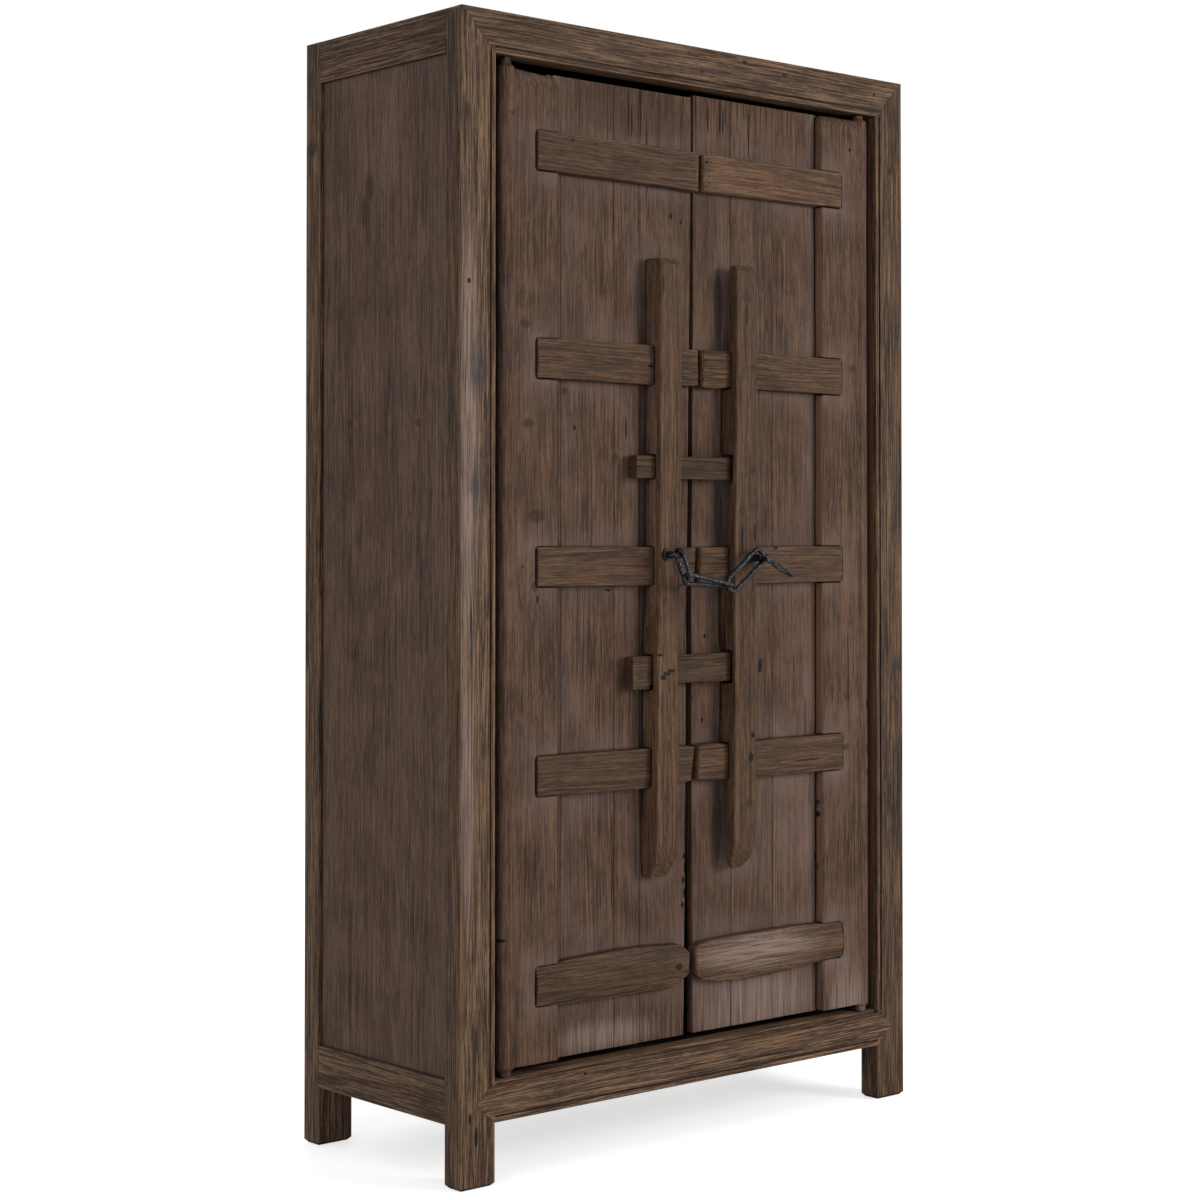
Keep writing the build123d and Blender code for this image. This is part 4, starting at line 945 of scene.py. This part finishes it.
class CABINET_OT_doors(bpy.types.Operator):
    """Boards, stiles and battens of both doors"""
    bl_idname = "cabinet.doors"
    bl_label = "Doors"

    def execute(self, context):
        hollow = context.scene.cabinet_finish.hollow / MM
        battens = {side: [f"{side}_batten_{i}" for i in range(1, 6)] for side in SIDES}
        for n, node in enumerate(DOOR_BOARDS, SEEDS["boards"]):
            side = node.split("_")[0]
            dust = against(f"{side}_stile", f"{side}_pole", *battens[side])
            planed(node, finish("door"), "door_wood", n, arris=0.3, hollow=hollow, step=0.016, cross=0.014,
                   shape=board_shape(node), wear=0.0, halo=dust, tone=TONES.get(node, 1.0))

        for n, (node, side, sign) in enumerate(zip(STILES, SIDES, (-1, 1)), SEEDS["stiles"]):
            column_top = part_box(node)[1].z

            def column(where):
                """The chewed top of the round column beside the opening's corner."""
                high = np.clip((where[:, Z] - column_top + 0.055) / 0.03, 0, 1)
                return high * np.clip((sign * where[:, X] - 0.42) / 0.01, 0, 1)

            def bevel(where):
                """The worn front slope beside the column."""
                high = where[:, Z] > column_top - 0.062
                return (high & (sign * where[:, X] < 0.424) & (where[:, Y] < CASE_FRONT + 0.036)).astype(float)
            hewn(node, finish("door"), "door_wood", n, grid=2.8, hollow=hollow, shape=stile_shape(node),
                 chewed=column, sloped=bevel, wear=0.8, halo=against(*battens[side]))

        for n, node in enumerate(BATTENS, SEEDS["battens"]):
            dust = against(f"{node.split('_')[0]}_pole", reach=0.012)
            hewn(node, finish("handled"), "door_wood", n, hollow=hollow, shape=batten_shape(node), halo=dust,
                 tone=TONES.get(node, 1.0))
        return {"FINISHED"}


class CABINET_OT_handles(bpy.types.Operator):
    """Upright poles and sliding bolts"""
    bl_idname = "cabinet.handles"
    bl_label = "Poles and bolts"

    def execute(self, context):
        hollow = context.scene.cabinet_finish.hollow / MM
        for n, node in enumerate(POLES, SEEDS["poles"]):
            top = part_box(node)[1].z
            hewn(node, finish("handled"), "handled_wood", n, hollow=hollow, shape=pole_shape(node),
                 sloped=lambda where: (where[:, Z] > top - 0.014).astype(float), tone=TONES.get(node, 1.0))
        for n, (node, shape) in enumerate(zip(BOLTS, (None, bolt_shape)), SEEDS["bolts"]):
            hewn(node, finish("handled"), "handled_wood", n, grid=1.6, hollow=0.6, dents=0.3, shape=shape,
                 tone=TONES.get(node, 1.0))
        return {"FINISHED"}


class CABINET_OT_latch(bpy.types.Operator):
    """Forged eye, chain links, hasp, staple and hairpin"""
    bl_idname = "cabinet.latch"
    bl_label = "Forged latch"

    def execute(self, context):
        for n, node in enumerate(IRON[:-1], SEEDS["iron"]):
            hammered(node, n)
        hammered(IRON[-1], SEEDS["iron"] + len(IRON) - 1, swell=0.8, shape=sprung_legs)
        return {"FINISHED"}


class CABINET_OT_studio(bpy.types.Operator):
    """Pale floor, soft lamps, world and camera"""
    bl_idname = "cabinet.studio"
    bl_label = "Studio"

    def execute(self, context):
        self.lay_floor()
        self.fill_air(context.scene)
        self.hang_lamps(context.scene)
        self.place_camera(context.scene)
        context.scene.view_settings.view_transform = "Standard"
        return {"FINISHED"}

    def lay_floor(self):
        bpy.ops.object.select_all(action="DESELECT")
        bpy.ops.mesh.primitive_plane_add(size=60, location=(0, 0, 0))
        floor = bpy.context.object
        floor.name = "studio_floor"
        bpy.ops.object.transform_apply(location=True, rotation=True, scale=True)
        material, tree = new_material("white vinyl floor sheet")
        seen = add(tree, "LightPath", out="Is Camera Ray")
        sheet = add(tree, "BsdfDiffuse", Color=tint("#E6E6E6"))
        glow = add(tree, "Emission", Color=tint("#FFFFFF"), Strength=0.62)
        shader = add(tree, "MixShader", seen, sheet, add(tree, "AddShader", sheet, glow))
        add(tree, "OutputMaterial", Surface=shader, out=None)
        floor.data.materials.append(material)

    def fill_air(self, scene):
        world = bpy.data.worlds.new("studio_air")
        scene.world = world
        world.use_nodes = True
        tree = world.node_tree
        tree.nodes.clear()
        path = add(tree, "LightPath", out=None)
        seen = add(tree, "Math", path["Is Camera Ray"], path["Is Transmission Ray"], operation="MAXIMUM")
        soft = add(tree, "Background", Color=tint("#F6F5F4"), Strength=0.60)
        white = add(tree, "Background", Color=tint("#FFFFFF"), Strength=1.0)
        add(tree, "OutputWorld", Surface=add(tree, "MixShader", seen, soft, white), out=None)

    def hang_lamps(self, scene):
        key = scene.cabinet_finish.key_power
        for name, place, aim, size, power, colour in (
            ("key_lamp", (2.6, -4.3, 2.2), (0, 0, 0.95), 1.9, key, "#FFF8F0"),
            ("side_lamp", (-5.0, -2.2, 2.2), (0, 0, 1.0), 2.6, key * 0.46, "#F8F9FF"),
            ("back_lamp", (2.6, 4.4, 3.2), (0, 0, 1.0), 2.6, key * 0.5, "#F8F8FF"),
        ):
            lamp = bpy.data.lights.new(name, "AREA")
            lamp.energy = power
            lamp.size = size
            lamp.color = tint(colour)[:3]
            holder = bpy.data.objects.new(name, lamp)
            scene.collection.objects.link(holder)
            holder.location = place
            holder.rotation_euler = (Vector(aim) - Vector(place)).to_track_quat("-Z", "Y").to_euler()

    def place_camera(self, scene):
        camera = bpy.data.cameras.new("camera")
        camera.lens = scene.cabinet_finish.lens
        camera.sensor_width = 36.0
        camera.shift_y = -0.0938
        camera.clip_end = 100
        holder = bpy.data.objects.new("camera", camera)
        scene.collection.objects.link(holder)
        holder.location = (-3.0730, -3.4382, 1.0987)
        holder.rotation_euler = (math.radians(91.168), 0, math.radians(-41.137))
        scene.camera = holder


STEPS = (CABINET_OT_case, CABINET_OT_inside, CABINET_OT_doors, CABINET_OT_handles, CABINET_OT_latch, CABINET_OT_studio)


class CABINET_PT_panel(bpy.types.Panel):
    """Lists the cabinet's sizes, colours and steps"""
    bl_idname = "CABINET_PT_panel"
    bl_label = "Book cabinet"
    bl_space_type = "VIEW_3D"
    bl_region_type = "UI"
    bl_category = "Cabinet"

    def draw(self, context):
        for name in ("arris", "hollow", "matt", "dark", "key_power", "lens"):
            self.layout.prop(context.scene.cabinet_finish, name)
        for step in STEPS:
            self.layout.operator(step.bl_idname)


CLASSES = (CabinetFinish, *STEPS, CABINET_PT_panel)


def register():
    for kind in CLASSES:
        bpy.utils.register_class(kind)
    bpy.types.Scene.cabinet_finish = bpy.props.PointerProperty(type=CabinetFinish)


def unregister():
    del bpy.types.Scene.cabinet_finish
    for kind in reversed(CLASSES):
        bpy.utils.unregister_class(kind)


def main():
    register()
    bpy.ops.cabinet.case()
    bpy.ops.cabinet.inside()
    bpy.ops.cabinet.doors()
    bpy.ops.cabinet.handles()
    bpy.ops.cabinet.latch()
    bpy.ops.cabinet.studio()


if __name__ == "__main__":
    main()
